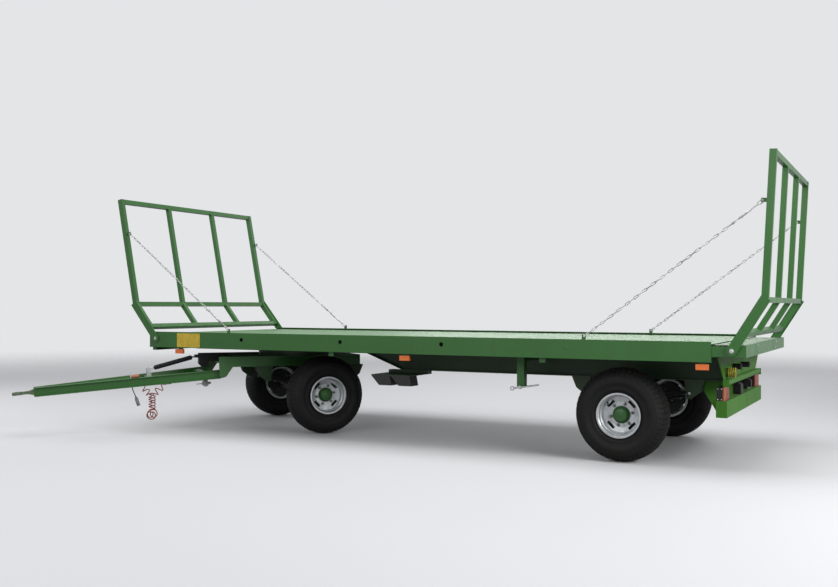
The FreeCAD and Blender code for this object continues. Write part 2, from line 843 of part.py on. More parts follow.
def carriage():
    """Steered frame: two side beams, cross members, the drawbar lugs, and a nose that holds the balance spring and a
    stop for the drawbar."""
    top = ring_bottom
    half = size.carriage_width / 2
    lug_rear = size.lug_front_x - size.lug_length
    pieces = []
    for side, sign in SIDES:
        y = sign * size.carriage_y
        pieces.append(box(f"carriage_side_{side}", (size.carriage_rear_x, size.carriage_side_front_x),
                          (y - half, y + half), (carriage_bottom, top)))
        points = [(lug_rear, top), (size.lug_front_x, top),
                  (size.lug_front_x - size.lug_tip_inset, -(size.hinge_drop + size.lug_tip_drop)),
                  (size.hinge_x + size.lug_foot_front, -(size.hinge_drop + size.lug_foot_drop)),
                  (size.hinge_x - size.lug_foot_rear, -(size.hinge_drop + size.lug_heel_drop)),
                  (lug_rear, carriage_bottom)]
        lug_y = size.carriage_y + half - size.lug_wall / 2
        pieces.append(plate(f"lug_{side}", "XZ_Plane", points, size.lug_wall, moved(0, sign * lug_y)))
        pieces.append(rod_y(f"hinge_pin_{side}", size.hinge_pin_radius,
                            side_span(sign, size.arm_rear_y - size.hinge_pin_reach, lug_y), size.hinge_x,
                            -size.hinge_drop))
    cross_front = size.carriage_side_front_x - size.carriage_cross
    for word, x in (("rear", size.carriage_rear_x), ("middle_rear", size.carriage_cross_rear_x),
                    ("middle_front", size.carriage_cross_front_x), ("front", cross_front)):
        pieces.append(box(f"carriage_cross_{word}", (x, x + size.carriage_cross),
                          (-size.carriage_y, size.carriage_y), (carriage_bottom + size.carriage_cross_rise, top)))
    node(fused("carriage_piece", pieces, STEERED), "turntable_carriage")

    across = (-size.nose_width / 2, size.nose_width / 2)
    nose_top = top + size.nose_rise
    pin_x = size.hinge_x + size.coil_upper_x
    pin_z = size.coil_upper_z - size.hinge_drop
    ear = size.hook_width / 2 + size.hinge_side_gap
    pieces = [box("nose_block", (size.carriage_side_front_x, size.nose_front_x), across,
                  (nose_top - size.nose_height, nose_top)),
              box("nose_bar", (size.nose_rear_x, size.carriage_side_front_x), across, (top, nose_top))]
    stop_top = nose_top - size.nose_height
    stop_lip = stop_top - size.stop_lip
    stop_foot = stop_top - size.stop_drop
    pieces.append(plate("nose_stop", "XZ_Plane",
                        [(size.stop_rear_x, stop_top), (size.nose_front_x, stop_top), (size.nose_front_x, stop_lip),
                         (size.stop_foot_front_x, stop_foot), (size.stop_foot_rear_x, stop_foot)], size.nose_width))
    for side, sign in SIDES:
        pieces.append(box(f"nose_ear_{side}", (size.nose_front_x - size.ear_overlap, pin_x + size.ear_half),
                          side_span(sign, ear, ear + size.bracket_wall),
                          (pin_z - size.ear_half, pin_z + size.ear_half)))
    pieces.append(rod_y("nose_pin", size.spring_pin_radius, (-ear - size.bracket_wall, ear + size.bracket_wall),
                        pin_x, pin_z))
    node(fused("nose_piece", pieces, STEERED), "carriage_nose")


def drawbar():
    """A-shaped drawbar of two channels, hinged on the carriage lugs, with a forged towing eye."""
    length = size.arm_length
    run = length / cos(arm_lean)
    half = size.arm_height / 2
    lug_face = size.carriage_y + size.carriage_width / 2 - size.lug_wall
    pieces = []
    bores = []
    for side, sign in SIDES:
        place = moved(0, sign * size.arm_rear_y, 0, (0, 0, 1), -sign * arm_lean)
        along = (size.arm_rear_x, run)
        pieces.append(box(f"arm_web_{side}", along, side_span(sign, 0, size.arm_wall), (-half, half), place))
        for word, heights in (("top", (half - size.arm_wall, half)), ("foot", (-half, size.arm_wall - half))):
            pieces.append(box(f"arm_{word}_{side}", along, side_span(sign, 0, size.arm_flange), heights, place))
        pieces.append(rod_y(f"arm_eye_{side}", size.hinge_eye_radius,
                            side_span(sign, size.arm_rear_y - size.hinge_eye_reach, lug_face - size.hinge_side_gap)))
        bores.append(rod_y(f"arm_bore_{side}", size.hinge_pin_radius + size.running_fit,
                           side_span(sign, size.arm_rear_y - size.bore_margin, lug_face + size.bore_margin)))
    tie = size.tie_height / 2
    for word, x in (("front", size.tie_x), ("rear", size.tie_rear_x)):
        pieces.append(box(f"tie_{word}", (x - size.tie_width / 2, x + size.tie_width / 2), (-arm_y(x), arm_y(x)),
                          (-tie, tie)))
    block = size.nose_block_width / 2
    nose = length + size.nose_block_lip
    pieces.append(box("drawbar_nose", (nose - size.nose_block_length, nose), (-block, block),
                      (size.nose_block_inset - half, half - size.nose_block_inset)))
    clip = size.hose_clip_length / 2
    bunch_side = bunch_y + size.coil_leg_radius
    front_end = size.hinge_drop - size.bunch_top_drop + size.front_leg_rise + bunch_front_x * sin(size.drawbar_pitch)
    rear_end = size.hinge_drop - size.bunch_top_drop + size.rear_leg_rise + bunch_rear_x * sin(size.drawbar_pitch)
    for word, x, held, end in (("front", bunch_front_x, bunch_side, front_end),
                               ("rear", bunch_rear_x, bunch_side, rear_end),
                               ("cable", size.cable_x, size.cable_y + size.cable_radius, -size.cable_top)):
        pieces.append(box(f"hose_clip_{word}", (x - clip, x + clip),
                          (held + size.seat_gap, arm_y(x) + size.arm_wall / 2), (end - size.hose_clip_height, end)))
    node(cut("drawbar_piece", fused("drawbar_solid", pieces), bores, DRAWBAR), "drawbar_frame")

    thick = size.eye_thickness
    neck = nose + size.neck_length
    back = eye_x - size.neck_overlap
    across = [(nose, size.neck_root_half), (neck, size.neck_half), (back, size.neck_half)]
    upright = [(nose, size.neck_root_height), (neck, thick / 2), (back, thick / 2)]
    shank = common("eye_shank",
                   plate("shank_plan", "XY_Plane", across + [(x, -y) for x, y in across[::-1]], size.arm_height),
                   plate("shank_side", "XZ_Plane", upright + [(x, -z) for x, z in upright[::-1]], size.arm_height))
    ring = rod("eye_ring", size.eye_radius, thick, moved(eye_x, 0, -thick / 2))
    bore = rod("eye_bore", size.eye_bore_radius, 2 * thick, moved(eye_x, 0, -thick))
    node(cut("eye_piece", fused("eye_solid", [shank, ring]), [bore], DRAWBAR), "drawbar_eye")

    gap = size.bracket_gap / 2
    foot = size.bracket_foot_half
    head = size.bracket_head_half
    head_z = size.bracket_pin_z + size.bracket_head_rise
    points = [(size.tie_x - foot, tie), (size.tie_x + foot, tie), (size.tie_x + head, head_z),
              (size.tie_x - head, head_z)]
    cheeks = [plate(f"bracket_cheek_{side}", "XZ_Plane", points, size.bracket_wall,
                    moved(0, sign * (gap + size.bracket_wall / 2))) for side, sign in SIDES]
    base = box("bracket_base", (size.tie_x - foot, size.tie_x + foot), (-gap, gap), (tie, tie + size.bracket_wall))
    pin = rod_y("bracket_pin", size.ring_hook_pin, (-gap - size.bracket_wall, gap + size.bracket_wall),
                size.tie_x, size.bracket_pin_z)
    node(fused("bracket_piece", cheeks + [base, pin], DRAWBAR), "spring_bracket")


def drawbar_fittings():
    """Brake valve under the rear tie, a holder for the air coupling on the near arm, and the lamp cable's plug."""
    x = size.tie_rear_x
    y = size.valve_y
    half = size.valve_width / 2
    tie = -size.tie_height / 2
    pieces = [rod_y("valve_body", size.valve_radius, (y - half, y + half), x, -size.valve_drop),
              box("valve_neck", (x - size.valve_neck_half, x + size.valve_neck_half), (y - half, y + half),
                  (-size.valve_drop, tie - size.valve_plate)),
              box("valve_plate", (x - half, x + half), (y - half, y + half),
                  (tie - size.valve_plate, tie)),
              rod_x("valve_lever", size.valve_lever_radius, (x, x + size.valve_lever_reach), y - half / 2,
                    -size.valve_drop),
              rod_x("valve_port", size.valve_port_radius, (x - size.valve_port_reach, x), y, -size.valve_drop)]
    node(fused("valve_piece", pieces, DRAWBAR), "brake_valve")

    arm_top = size.arm_height / 2
    side = size.holder_side / 2
    stand_y = arm_y(size.holder_x) + size.holder_set_in
    node(box("holder", (size.holder_x - side, size.holder_x + side), (stand_y - side, stand_y + side),
             (arm_top, arm_top + size.holder_height), DRAWBAR), "hose_holder")
    front = size.holder_x - side - size.seat_gap
    node(put(rod("coupling", size.coupling_radius, size.coupling_length), DRAWBAR,
             moved(front - size.coupling_length, stand_y, arm_top + size.coupling_radius + size.seat_gap,
                   (0, 1, 0), 90)), "supply_coupling")

    hang = moved(size.cable_x, size.cable_y, -size.cable_top, (0, 1, 0), 180 + size.cable_lean)
    node(rod("cable", size.cable_radius, size.cable_length, DRAWBAR, hang), "lamp_cable")
    end = size.cable_length + size.seat_gap
    body = end + size.plug_neck_length
    plug = fused("plug", [rod("plug_neck", size.plug_neck_radius, size.plug_neck_length, moved(0, 0, end)),
                          rod("plug_body", size.plug_radius, size.plug_length - size.plug_neck_length,
                              moved(0, 0, body))], DRAWBAR, hang)
    node(plug, "lamp_plug")


def balance_spring():
    """Closely wound spring that carries the drawbar, from the carriage nose down to the bracket."""
    pitch = size.drawbar_pitch
    low_x = size.tie_x * cos(pitch) + size.bracket_pin_z * sin(pitch)
    low_z = size.bracket_pin_z * cos(pitch) - size.tie_x * sin(pitch)
    across = low_x - size.coil_upper_x
    drop = size.coil_upper_z - low_z
    reach = sqrt(across * across + drop * drop)
    place = STEERED + " * " + moved(size.hinge_x + size.coil_upper_x, 0, size.coil_upper_z - size.hinge_drop,
                                    (0, 1, 0), arctan(drop / across))
    hook = (-size.hook_width / 2, size.hook_width / 2)
    upper = fused("upper_hook", [rod_x("upper_hook_stem", size.hook_stem_radius, (0, size.upper_stem)),
                                 rod_y("upper_hook_eye", size.hook_radius, hook)])
    bore = rod_y("upper_hook_bore", size.spring_pin_radius + size.running_fit, (-size.hook_width, size.hook_width))
    node(cut("upper_hook_piece", upper, [bore], place), "spring_upper_hook")
    lower = fused("lower_hook", [rod_x("lower_hook_stem", size.hook_stem_radius, (reach - size.lower_stem, reach)),
                                 rod_y("lower_hook_ring", size.ring_hook_radius, hook, reach)])
    hollow = rod_y("lower_hook_hollow", size.ring_hook_radius - size.ring_hook_wall,
                   (-size.hook_width, size.hook_width), reach)
    node(cut("lower_hook_piece", lower, [hollow], place), "spring_lower_hook")
    node(put(rod("coil", size.coil_radius, reach - size.lower_stem - size.upper_stem), place,
             moved(size.upper_stem, 0, 0, (0, 1, 0), 90)), "drawbar_spring")


def rack(name, place):
    """Bale rack about its pins: flat foot plates outside the rails, tubes between them."""
    half = size.rack_tube / 2
    depth = size.rack_post_depth / 2
    leg = tilted(size.rack_bend)
    knee_x = size.rack_leg * sin(size.rack_bend)
    knee_z = size.rack_leg * cos(size.rack_bend)
    top = knee_z + size.rack_post
    foot_half = size.rack_plate_width / 2
    pieces = []
    bores = []
    for side, sign in SIDES:
        plate_y = side_span(sign, rack_y, rack_y + size.rack_plate_wall)
        tube_y = side_span(sign, rack_y - size.rack_tube, rack_y)
        pieces.append(box(f"{name}_foot_{side}", (-foot_half, foot_half), plate_y,
                          (0, size.rack_leg + size.rack_plate_overlap), leg))
        pieces.append(rod_y(f"{name}_toe_{side}", foot_half, plate_y))
        pieces.append(box(f"{name}_leg_{side}", (-depth, depth), tube_y,
                          (size.rack_lower_rail - half, size.rack_leg), leg))
        pieces.append(box(f"{name}_post_{side}", (knee_x - depth, knee_x + depth), tube_y, (knee_z, top)))
        lug_z = knee_z + size.chain_ring_height
        pieces.append(box(f"{name}_lug_{side}",
                          (knee_x - depth - size.chain_ring_reach - size.chain_lug_half, knee_x - depth),
                          chain_lug_span(sign), (lug_z - size.chain_lug_half, lug_z + size.chain_lug_half)))
        bores.append(rod_y(f"{name}_bore_{side}", size.rack_pin_radius + size.running_fit,
                           side_span(sign, rack_y - size.rack_plate_wall, rack_y + 2 * size.rack_plate_wall)))
    for word, y in (("left", size.platform_width / 6), ("right", -size.platform_width / 6)):
        pieces.append(box(f"{name}_short_{word}", (-half, half), (y - half, y + half),
                          (size.rack_lower_rail, size.rack_leg), leg))
        pieces.append(box(f"{name}_upright_{word}", (knee_x - half, knee_x + half), (y - half, y + half),
                          (knee_z, top)))
    pieces.append(box(f"{name}_lower_rail", (-half, half), (-rack_y, rack_y),
                      (size.rack_lower_rail - half, size.rack_lower_rail + half), leg))
    for word, z in (("knee", knee_z + half), ("top", top)):
        pieces.append(box(f"{name}_{word}_rail", (knee_x - half, knee_x + half), (-rack_y, rack_y),
                          (z - size.rack_tube, z)))
    node(cut(name + "_rack_piece", fused(name + "_rack_solid", pieces), bores, place), name + "_rack")


def rack_pins(end, x, inner):
    """Pins on which one rack turns, from the rail or slide out through the foot plates."""
    outer = rack_y + size.rack_plate_wall + size.rack_pin_proud
    return [rod_y(f"{end}_pin_{side}", size.rack_pin_radius, side_span(sign, inner, outer), x, -size.rack_pin_drop)
            for side, sign in SIDES]


def chain_link(name, low, high, half_width, lies_across):
    """Link around the stretch from low to high along Z, with straight sides and ends of the wire's width."""
    wire = size.chain_wire
    thin = wire / 2
    wide = half_width if lies_across else thin
    deep = thin if lies_across else half_width
    hole = half_width - wire
    ring = box(name + "_ring", (-wide, wide), (-deep, deep), (low - wire, high + wire))
    clear = (wire, hole) if not lies_across else (hole, wire)
    window = box(name + "_window", (-clear[0], clear[0]), (-clear[1], clear[1]), (low, high))
    return cut(name, ring, [window])


def stay(name, reach, rod_length, rod_is_low, links, *places):
    """Chain of long links and a screwed rod, each with its end fixed in an eye. It runs up Z from 0 to reach."""
    eye = size.chain_eye_length
    rod_low = as_formula(0) if rod_is_low else reach - rod_length
    rod_high = rod_low + rod_length
    low, high = (rod_high, reach) if rod_is_low else (as_formula(0), rod_low)
    pitch = (high - low) / links
    pieces = [chain_link(f"{name}_link_{index}", low + index * pitch, low + (index + 1) * pitch,
                         size.chain_link_half, index % 2 == 0) for index in range(links)]
    inner_eye, outer_eye = (rod_high - eye, rod_low) if rod_is_low else (rod_low, rod_high - eye)
    pieces += [chain_link(name + "_shackle", inner_eye, inner_eye + eye, size.chain_eye_half, False),
               chain_link(name + "_eye", outer_eye, outer_eye + eye, size.chain_eye_half, True),
               rod(name + "_rod", size.chain_rod_radius, rod_length - 2 * eye, moved(0, 0, rod_low + eye))]
    return fused(name, pieces, *places)


def chains():
    """Stays from the lugs on the rails up to the lugs on the rack posts."""
    height = size.chain_ring_height
    back = size.rack_post_depth / 2 + size.chain_ring_reach
    for end, pin_x, lean, way, rod_length, links in (
            ("front", front_pin_x, size.rack_front_lean, 1, size.front_rod_length, FRONT_LINKS),
            ("rear", -rear_pin_x, size.rack_rear_lean, -1, size.rear_rod_length, REAR_LINKS)):
        leg_lean = lean + size.rack_bend
        post_x = pin_x + size.rack_leg * sin(leg_lean) + height * sin(lean) - back * cos(lean)
        post_z = size.rack_leg * cos(leg_lean) + height * cos(lean) + back * sin(lean) - size.rack_pin_drop
        rise = post_z - size.chain_anchor_z
        run = post_x - chain_x
        reach = sqrt(rise * rise + run * run)
        stays = [stay(f"{end}_chain_{side}", reach, rod_length, way > 0, links,
                      moved(way * chain_x, sign * (half_width - size.chain_inset), size.chain_anchor_z,
                            (0, 1, 0), way * arctan(run / rise))) for side, sign in SIDES]
        node(grouped(f"{end}_chain_pair", stays), f"{end}_chains")


def rear_extension():
    """Extension that slides in guides in the side rails and carries the rear rack."""
    top = -size.slide_drop
    rear = -(half_length + size.rear_reach)
    grip_x = size.slide_grip - half_length
    pieces = rack_pins("rear", rear_pin_x, slide_inner)
    for side, sign in SIDES:
        pieces.append(box(f"slide_{side}", (rear, grip_x), side_span(sign, slide_inner, slide_outer),
                          (top - size.slide_height, top)))
    pieces.append(box("rear_beam", (rear, rear + size.rear_beam_depth), (-slide_outer, slide_outer),
                      (-size.rear_beam_height, -size.deck_sheet)))
    sheet_top = -size.extension_sheet_drop
    pieces.append(box("extension_sheet", (rear, -half_length - size.deck_gap), (-slide_inner, slide_inner),
                      (sheet_top - size.deck_sheet, sheet_top)))
    node(fused("extension_piece", pieces), "rear_extension")

    gap = size.seat_gap
    wall = size.guide_wall
    guides = []
    for side, sign in SIDES:
        shell = box(f"guide_shell_{side}", (-half_length, grip_x),
                    side_span(sign, slide_inner - gap - wall, slide_outer + gap + wall),
                    (top - size.slide_height - gap - wall, top + gap + wall))
        hole = box(f"guide_hole_{side}", (-half_length - wall, grip_x + wall),
                   side_span(sign, slide_inner - gap, slide_outer + gap),
                   (top - size.slide_height - gap, top + gap))
        guides.append(cut(f"guide_{side}", shell, [hole]))
    node(grouped("guide_pair", guides), "extension_guides")
    node(grouped("front_pin_pair", rack_pins("front", front_pin_x, half_width)), "front_rack_pins")


def rear_end():
    """Bumper on slanted stays behind the main beams, with a panel, a round tube and two lamps."""
    front = bumper_rear_x + size.bumper_depth
    pieces = [box("bumper_bar", (bumper_rear_x, front),
                  (-size.bumper_half_length, size.bumper_half_length), (-size.bumper_drop, bumper_top))]
    panel_front = panel_rear_x + size.panel_wall
    stay_front = rear_axle_x - (size.spring_half_length + size.hanger_web_x + size.hanger_wall + size.seat_gap)
    for side, sign in SIDES:
        points = [(stay_front, -size.beam_deep_drop), (size.stay_foot_inset - half_length, -size.bumper_drop),
                  (front, -size.bumper_drop), (front, bumper_top), (panel_front, bumper_top),
                  (panel_front, cross_bottom), (-half_length, cross_bottom), (-half_length, -size.beam_deep_drop)]
        pieces.append(plate(f"stay_{side}", "XZ_Plane", points, size.stay_wall, moved(0, sign * size.beam_y)))
    edge = [(size.bumper_half_length - size.panel_low_inset, -size.panel_low_drop),
            (size.panel_top_half_width, -size.panel_top_drop)]
    pieces.append(plate("rear_panel", "YZ_Plane", edge + [(-y, z) for y, z in edge[::-1]], size.panel_wall,
                        moved(panel_rear_x + size.panel_wall / 2)))
    tube_x = panel_rear_x - size.tube_radius + size.weld_depth
    tube_half = size.bumper_half_length - size.tube_inset
    pieces.append(rod_y("bumper_tube_bar", size.tube_radius, (-tube_half, tube_half), tube_x, -size.tube_drop))
    for side, sign in SIDES:
        pieces.append(box(f"tube_end_{side}", (tube_x - size.tube_radius, tube_x + size.tube_radius),
                          side_span(sign, tube_half - size.tube_strap, tube_half),
                          (lamp_top + size.seat_gap, size.tube_radius - size.tube_drop)))
    node(fused("rear_frame_piece", pieces), "rear_frame")

    lens_x = bumper_rear_x + size.lamp_inset
    housing_x = lens_x + size.lens_wall
    for label, ends in (("tail_lamps", (lens_x, housing_x - size.seat_gap)),
                        ("lamp_housings", (housing_x, lens_x + size.lamp_depth))):
        pair = [box(f"{label}_{side}", ends,
                    side_span(sign, size.bumper_half_length - size.lamp_width, size.bumper_half_length),
                    (bumper_top, lamp_top)) for side, sign in SIDES]
        node(grouped(label + "_pair", pair), label)

    seat_x = panel_rear_x - size.seat_gap
    node(rod_x("coupling_cap", size.cap_radius, (seat_x - size.cap_length, seat_x), size.cap_y, -size.cap_drop),
         "rear_coupling_cap")
    fittings = [rod_x(f"socket_{word}", size.socket_radius, (seat_x - size.socket_length, seat_x), y, -drop)
                for word, y, drop in (("left", size.socket_left_y, size.socket_left_drop),
                                      ("right", size.socket_right_y, size.socket_right_drop))]
    box_front = bumper_rear_x + size.buffer_front_inset
    box_rear = box_front - size.buffer_depth
    box_top = bumper_top + size.buffer_height
    junction_y = size.beam_y - (size.stay_wall + size.junction_width) / 2 - size.seat_gap
    for word, y, width, foot in (("buffer", size.buffer_y, size.buffer_width, bumper_top),
                                 ("junction", -junction_y, size.junction_width, bumper_top + size.junction_rise)):
        points = [(box_rear, foot), (box_front, foot), (box_front, box_top), (box_rear + size.buffer_chamfer, box_top),
                  (box_rear, box_top - size.buffer_chamfer)]
        fittings.append(plate(word, "XZ_Plane", points, width, moved(0, y)))
    node(grouped("rear_fitting_set", fittings), "rear_fittings")


def small_parts():
    """Side markers, parking brake column, wheel chocks and the air tank."""
    marker_top = rail_bottom - size.marker_drop
    markers = [box(f"marker_{word}_{side}", (x - size.marker_length / 2, x + size.marker_length / 2),
                   side_span(sign, marker_outer - size.marker_depth, marker_outer),
                   (marker_top - size.marker_height, marker_top))
               for word, x in marker_places for side, sign in SIDES]
    node(grouped("marker_set", markers), "side_markers")

    half = size.column_side / 2
    column_x = rear_axle_x + size.column_gap
    column = box("column", (column_x - half, column_x + half),
                 (size.column_y - half, size.column_y + half), (-size.column_drop, cross_bottom))
    beam_side = size.beam_y + size.beam_web / 2
    arm_top = cross_bottom - size.column_arm_drop
    bracket = box("column_bracket", (column_x - half, column_x + half),
                  (beam_side, size.column_y - half), (arm_top - size.column_arm_height, arm_top))
    node(fused("brake_column", [column, bracket]), "parking_brake_column")
    face = size.column_y + half + size.seat_gap
    crank_y = face + size.crank_reach
    wall = size.crank_ring_wall
    ring = cut("crank_ring",
               rod_y("crank_ring_disc", size.crank_ring_radius, (crank_y - wall / 2, crank_y + wall / 2),
                     size.crank_front),
               [rod_y("crank_ring_hole", size.crank_ring_radius - wall, (crank_y - wall, crank_y + wall),
                      size.crank_front)])
    crank = fused("crank", [
        rod_y("crank_hub", size.crank_hub_radius, (face, crank_y + wall)), ring,
        rod_x("crank_rod", size.crank_rod_radius,
              (-size.crank_rear, size.crank_front - size.crank_ring_radius + wall / 2), crank_y)],
        moved(column_x, 0, -size.crank_drop, (0, 1, 0), size.crank_slope))
    node(crank, "crank_handle")

    tank_x = -cross_pitch / 2
    tank = rod_y("tank", size.tank_radius, (-size.tank_length / 2, size.tank_length / 2), tank_x, -size.tank_drop)
    depth = size.tank_strap_depth / 2
    straps = [box(f"tank_strap_{side}", (tank_x - depth, tank_x + depth),
                  side_span(sign, size.tank_length / 4, size.tank_length / 4 + size.tank_strap),
                  (-size.tank_drop, cross_bottom)) for side, sign in SIDES]
    node(fused("air_tank_piece", [tank] + straps), "air_tank")

    beam_half = size.beam_width / 2
    shelf = -size.beam_deep_drop - size.holder_drop
    half_pitch = size.chock_pitch / 2
    half = size.chock_length / 2
    middle = beam_step_rear_x - size.chock_back
    reach = (middle - half_pitch - half, middle + half_pitch + half)
    holder = fused("chock_shelf", [
        box("shelf_plate", reach, (size.beam_y - beam_half, size.chock_y + size.chock_width / 2),
            (shelf - size.holder_wall, shelf)),
        box("shelf_spacer", reach, (size.beam_y - beam_half, size.beam_y + beam_half),
            (shelf, -size.beam_deep_drop))])
    node(holder, "chock_holder")
    chocks = []
    top = shelf - size.holder_wall
    for word, x in (("front", middle + half_pitch), ("rear", middle - half_pitch)):
        rear = x - half
        points = [(rear, -size.chock_drop), (rear + size.chock_foot, -size.chock_drop), (x + half, top),
                  (rear + size.chock_slope, top)]
        chocks.append(plate(f"chock_{word}", "XZ_Plane", points, size.chock_width, moved(0, size.chock_y)))
    node(grouped("chock_pair", chocks), "wheel_chocks")


def hose_bunch():
    """Outer shape of the coiled air hose that hangs under the drawbar."""
    x = size.hinge_x + size.bunch_x
    height = size.bunch_foot_drop - size.bunch_top_drop
    pieces = [rod("bunch_body", size.bunch_radius, height, moved(x, bunch_y, -size.bunch_foot_drop))]
    for word, way, reach, rise in (("front", 1, size.front_leg_reach, size.front_leg_rise),
                                   ("rear", -1, size.rear_leg_reach, size.rear_leg_rise)):
        pieces.append(rod(f"bunch_leg_{word}", size.coil_leg_radius, sqrt(reach * reach + rise * rise),
                          moved(x, bunch_y, -size.bunch_top_drop, (0, 1, 0), way * arctan(reach / rise))))
    node(fused("bunch_piece", pieces, STEERED), "air_hose_coil")


deck()
side_rails()
main_beams()
suspension("rear", moved(rear_axle_x), size.beam_y, -size.beam_deep_drop)
suspension("front", STEERED, size.carriage_y, carriage_bottom)
wheels()
turntable_rings()
carriage()
drawbar()
drawbar_fittings()
balance_spring()
rack("front", FRONT_RACK)
rack("rear", REAR_RACK)
chains()
rear_extension()
rear_end()
small_parts()
hose_bunch()
doc.recompute()

failed = [piece.Name for piece in doc.Objects if "Invalid" in piece.State or "Error" in piece.State]
failed += [piece.Label for piece in NODES if piece.Shape.isNull() or not piece.Shape.isValid()]
if failed:
    raise RuntimeError("these pieces failed: " + ", ".join(failed))
os.makedirs("parts", exist_ok=True)
for piece in NODES:
    piece.Shape.exportStep(f"parts/{piece.Label}.step")
print(len(NODES), "nodes written")
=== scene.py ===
import math

import bmesh
import bpy
from mathutils import Matrix, Quaternion, Vector


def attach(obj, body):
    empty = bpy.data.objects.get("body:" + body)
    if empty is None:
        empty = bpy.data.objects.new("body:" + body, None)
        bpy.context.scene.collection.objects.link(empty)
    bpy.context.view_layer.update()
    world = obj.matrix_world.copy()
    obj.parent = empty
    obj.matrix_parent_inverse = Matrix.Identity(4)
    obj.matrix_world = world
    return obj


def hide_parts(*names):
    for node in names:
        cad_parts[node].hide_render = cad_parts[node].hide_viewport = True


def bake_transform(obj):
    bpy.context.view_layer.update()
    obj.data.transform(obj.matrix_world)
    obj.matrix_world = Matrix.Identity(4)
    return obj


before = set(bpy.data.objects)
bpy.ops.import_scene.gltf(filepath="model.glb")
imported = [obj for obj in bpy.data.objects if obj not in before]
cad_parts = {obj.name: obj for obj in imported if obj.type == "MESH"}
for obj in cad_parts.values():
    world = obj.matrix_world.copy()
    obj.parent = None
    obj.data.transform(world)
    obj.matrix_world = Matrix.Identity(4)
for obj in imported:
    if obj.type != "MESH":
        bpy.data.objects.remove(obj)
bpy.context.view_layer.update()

# The camera stands off the left side of the wagon, behind its middle and level with the deck.
# It looks towards the drawbar end, so both the side and the rear end are seen.
camera = bpy.data.objects.new("camera", bpy.data.cameras.new("camera"))
bpy.context.scene.collection.objects.link(camera)
bpy.context.scene.camera = camera
bearing, rise, roll = math.radians(-62.38), math.radians(0.70), math.radians(0.09)
ahead = Vector((math.cos(bearing) * math.cos(rise), math.sin(bearing) * math.cos(rise), math.sin(rise)))
camera.rotation_mode = "QUATERNION"
camera.rotation_quaternion = ahead.to_track_quat("-Z", "Y") @ Quaternion((0, 0, 1), roll)
camera.location = (-4.8515, 9.847, 0.3335)
sensor_width, focal_pixels, picture_pixels = 36, 968.27, 838
camera.data.sensor_width = sensor_width
camera.data.lens = sensor_width * focal_pixels / picture_pixels
camera.data.clip_end = 200
bpy.context.scene.view_settings.view_transform = "Standard"


# Air hose: a curly red line, 11 mm thick, that hangs from two clips inside the left arm of the drawbar.
# Its turns spread on the two legs, hang as two strands wound into each other, and open into loops at the bottom.
steer = math.radians(51)
turntable_x = 1.945


class Shade:
    """A socket of one material's node tree; sums and products of it are Math nodes."""

    def __init__(self, tree, socket=None):
        self.tree = tree
        self.socket = socket

    def node(self, kind, settings, inputs, output=0):
        """Adds a node: first its settings, then the values or links of its sockets."""
        made = self.tree.nodes.new(kind)
        for name, value in settings.items():
            if name == "stops":
                for place, _ in value[1:-1]:
                    made.color_ramp.elements.new(place)
                for element, (place, colour) in zip(made.color_ramp.elements, value):
                    element.position = place
                    element.color = colour
            else:
                setattr(made, name, value)
        for name, value in inputs.items():
            if isinstance(value, Shade):
                self.tree.links.new(value.socket, made.inputs[name])
            else:
                made.inputs[name].default_value = value
        return Shade(self.tree, made.outputs[output])

    def math(self, operation, *values):
        """A Math node of the values alone."""
        return self.node("ShaderNodeMath", {"operation": operation}, dict(enumerate(values)))

    def __add__(self, other):
        return self.math("ADD", self, other)

    def __radd__(self, other):
        return self.math("ADD", other, self)

    def __mul__(self, other):
        return self.math("MULTIPLY", self, other)

    def __rmul__(self, other):
        return self.math("MULTIPLY", other, self)

    def limited(self, low, high):
        """0 up to low, 1 from high, and smooth between them."""
        return self.node("ShaderNodeMapRange", {"interpolation_type": "SMOOTHSTEP"},
                         {"Value": self, "From Min": low, "From Max": high})

    def place(self):
        """Where the point is on the piece, in metres."""
        return self.node("ShaderNodeTexCoord", {}, {}, "Object")

    def noise(self, scale, detail=3, stretch=(1, 1, 1)):
        """Cloudy noise of about scale lumps a metre, from 0 to 1."""
        point = self.node("ShaderNodeMapping", {}, {"Vector": self.place(), "Scale": stretch})
        return self.node("ShaderNodeTexNoise", {}, {"Vector": point, "Scale": scale, "Detail": detail})

    def mixed(self, share, first, second):
        """Colour between first and second."""
        return self.node("ShaderNodeMix", {"data_type": "RGBA"}, {0: share, 6: first, 7: second}, 2)

    def facing_up(self):
        """1 on top of things, 0 on their sides and underneath."""
        normal = self.node("ShaderNodeNewGeometry", {}, {}, "Normal")
        return self.node("ShaderNodeSeparateXYZ", {}, {"Vector": normal}, "Z").limited(0.3, 0.95)

    def bump(self, height, depth):
        """Normal of a surface that stands up by height times depth, in metres."""
        return self.node("ShaderNodeBump", {}, {"Height": height, "Distance": depth, "Strength": 1.0})


def srgb(red, green, blue):
    """Colour as it is read off a screen, from 0 to 255."""
    parts = [c / 255 for c in (red, green, blue)]
    return tuple(c / 12.92 if c <= 0.04045 else ((c + 0.055) / 1.055) ** 2.4 for c in parts) + (1.0,)


def material(name, look):
    """Material whose varying sockets come from look, and whose plain numbers are set on the shader."""
    made = bpy.data.materials.new(name)
    made.use_nodes = True
    shader = made.node_tree.nodes["Principled BSDF"]
    for socket, value in look(Shade(made.node_tree)).items():
        if isinstance(value, Shade):
            made.node_tree.links.new(value.socket, shader.inputs[socket])
        else:
            shader.inputs[socket].default_value = value
    return made


def object_from(name, data, finish):
    """Object of a mesh or a curve, with its finish."""
    piece = bpy.data.objects.new(name, data)
    bpy.context.scene.collection.objects.link(piece)
    data.materials.append(finish)
    return piece


def steered(x, y, z):
    """A point given straight ahead of the turntable's centre, turned with the front axle."""
    return Vector((turntable_x + x * math.cos(steer) - y * math.sin(steer),
                   x * math.sin(steer) + y * math.cos(steer), z))


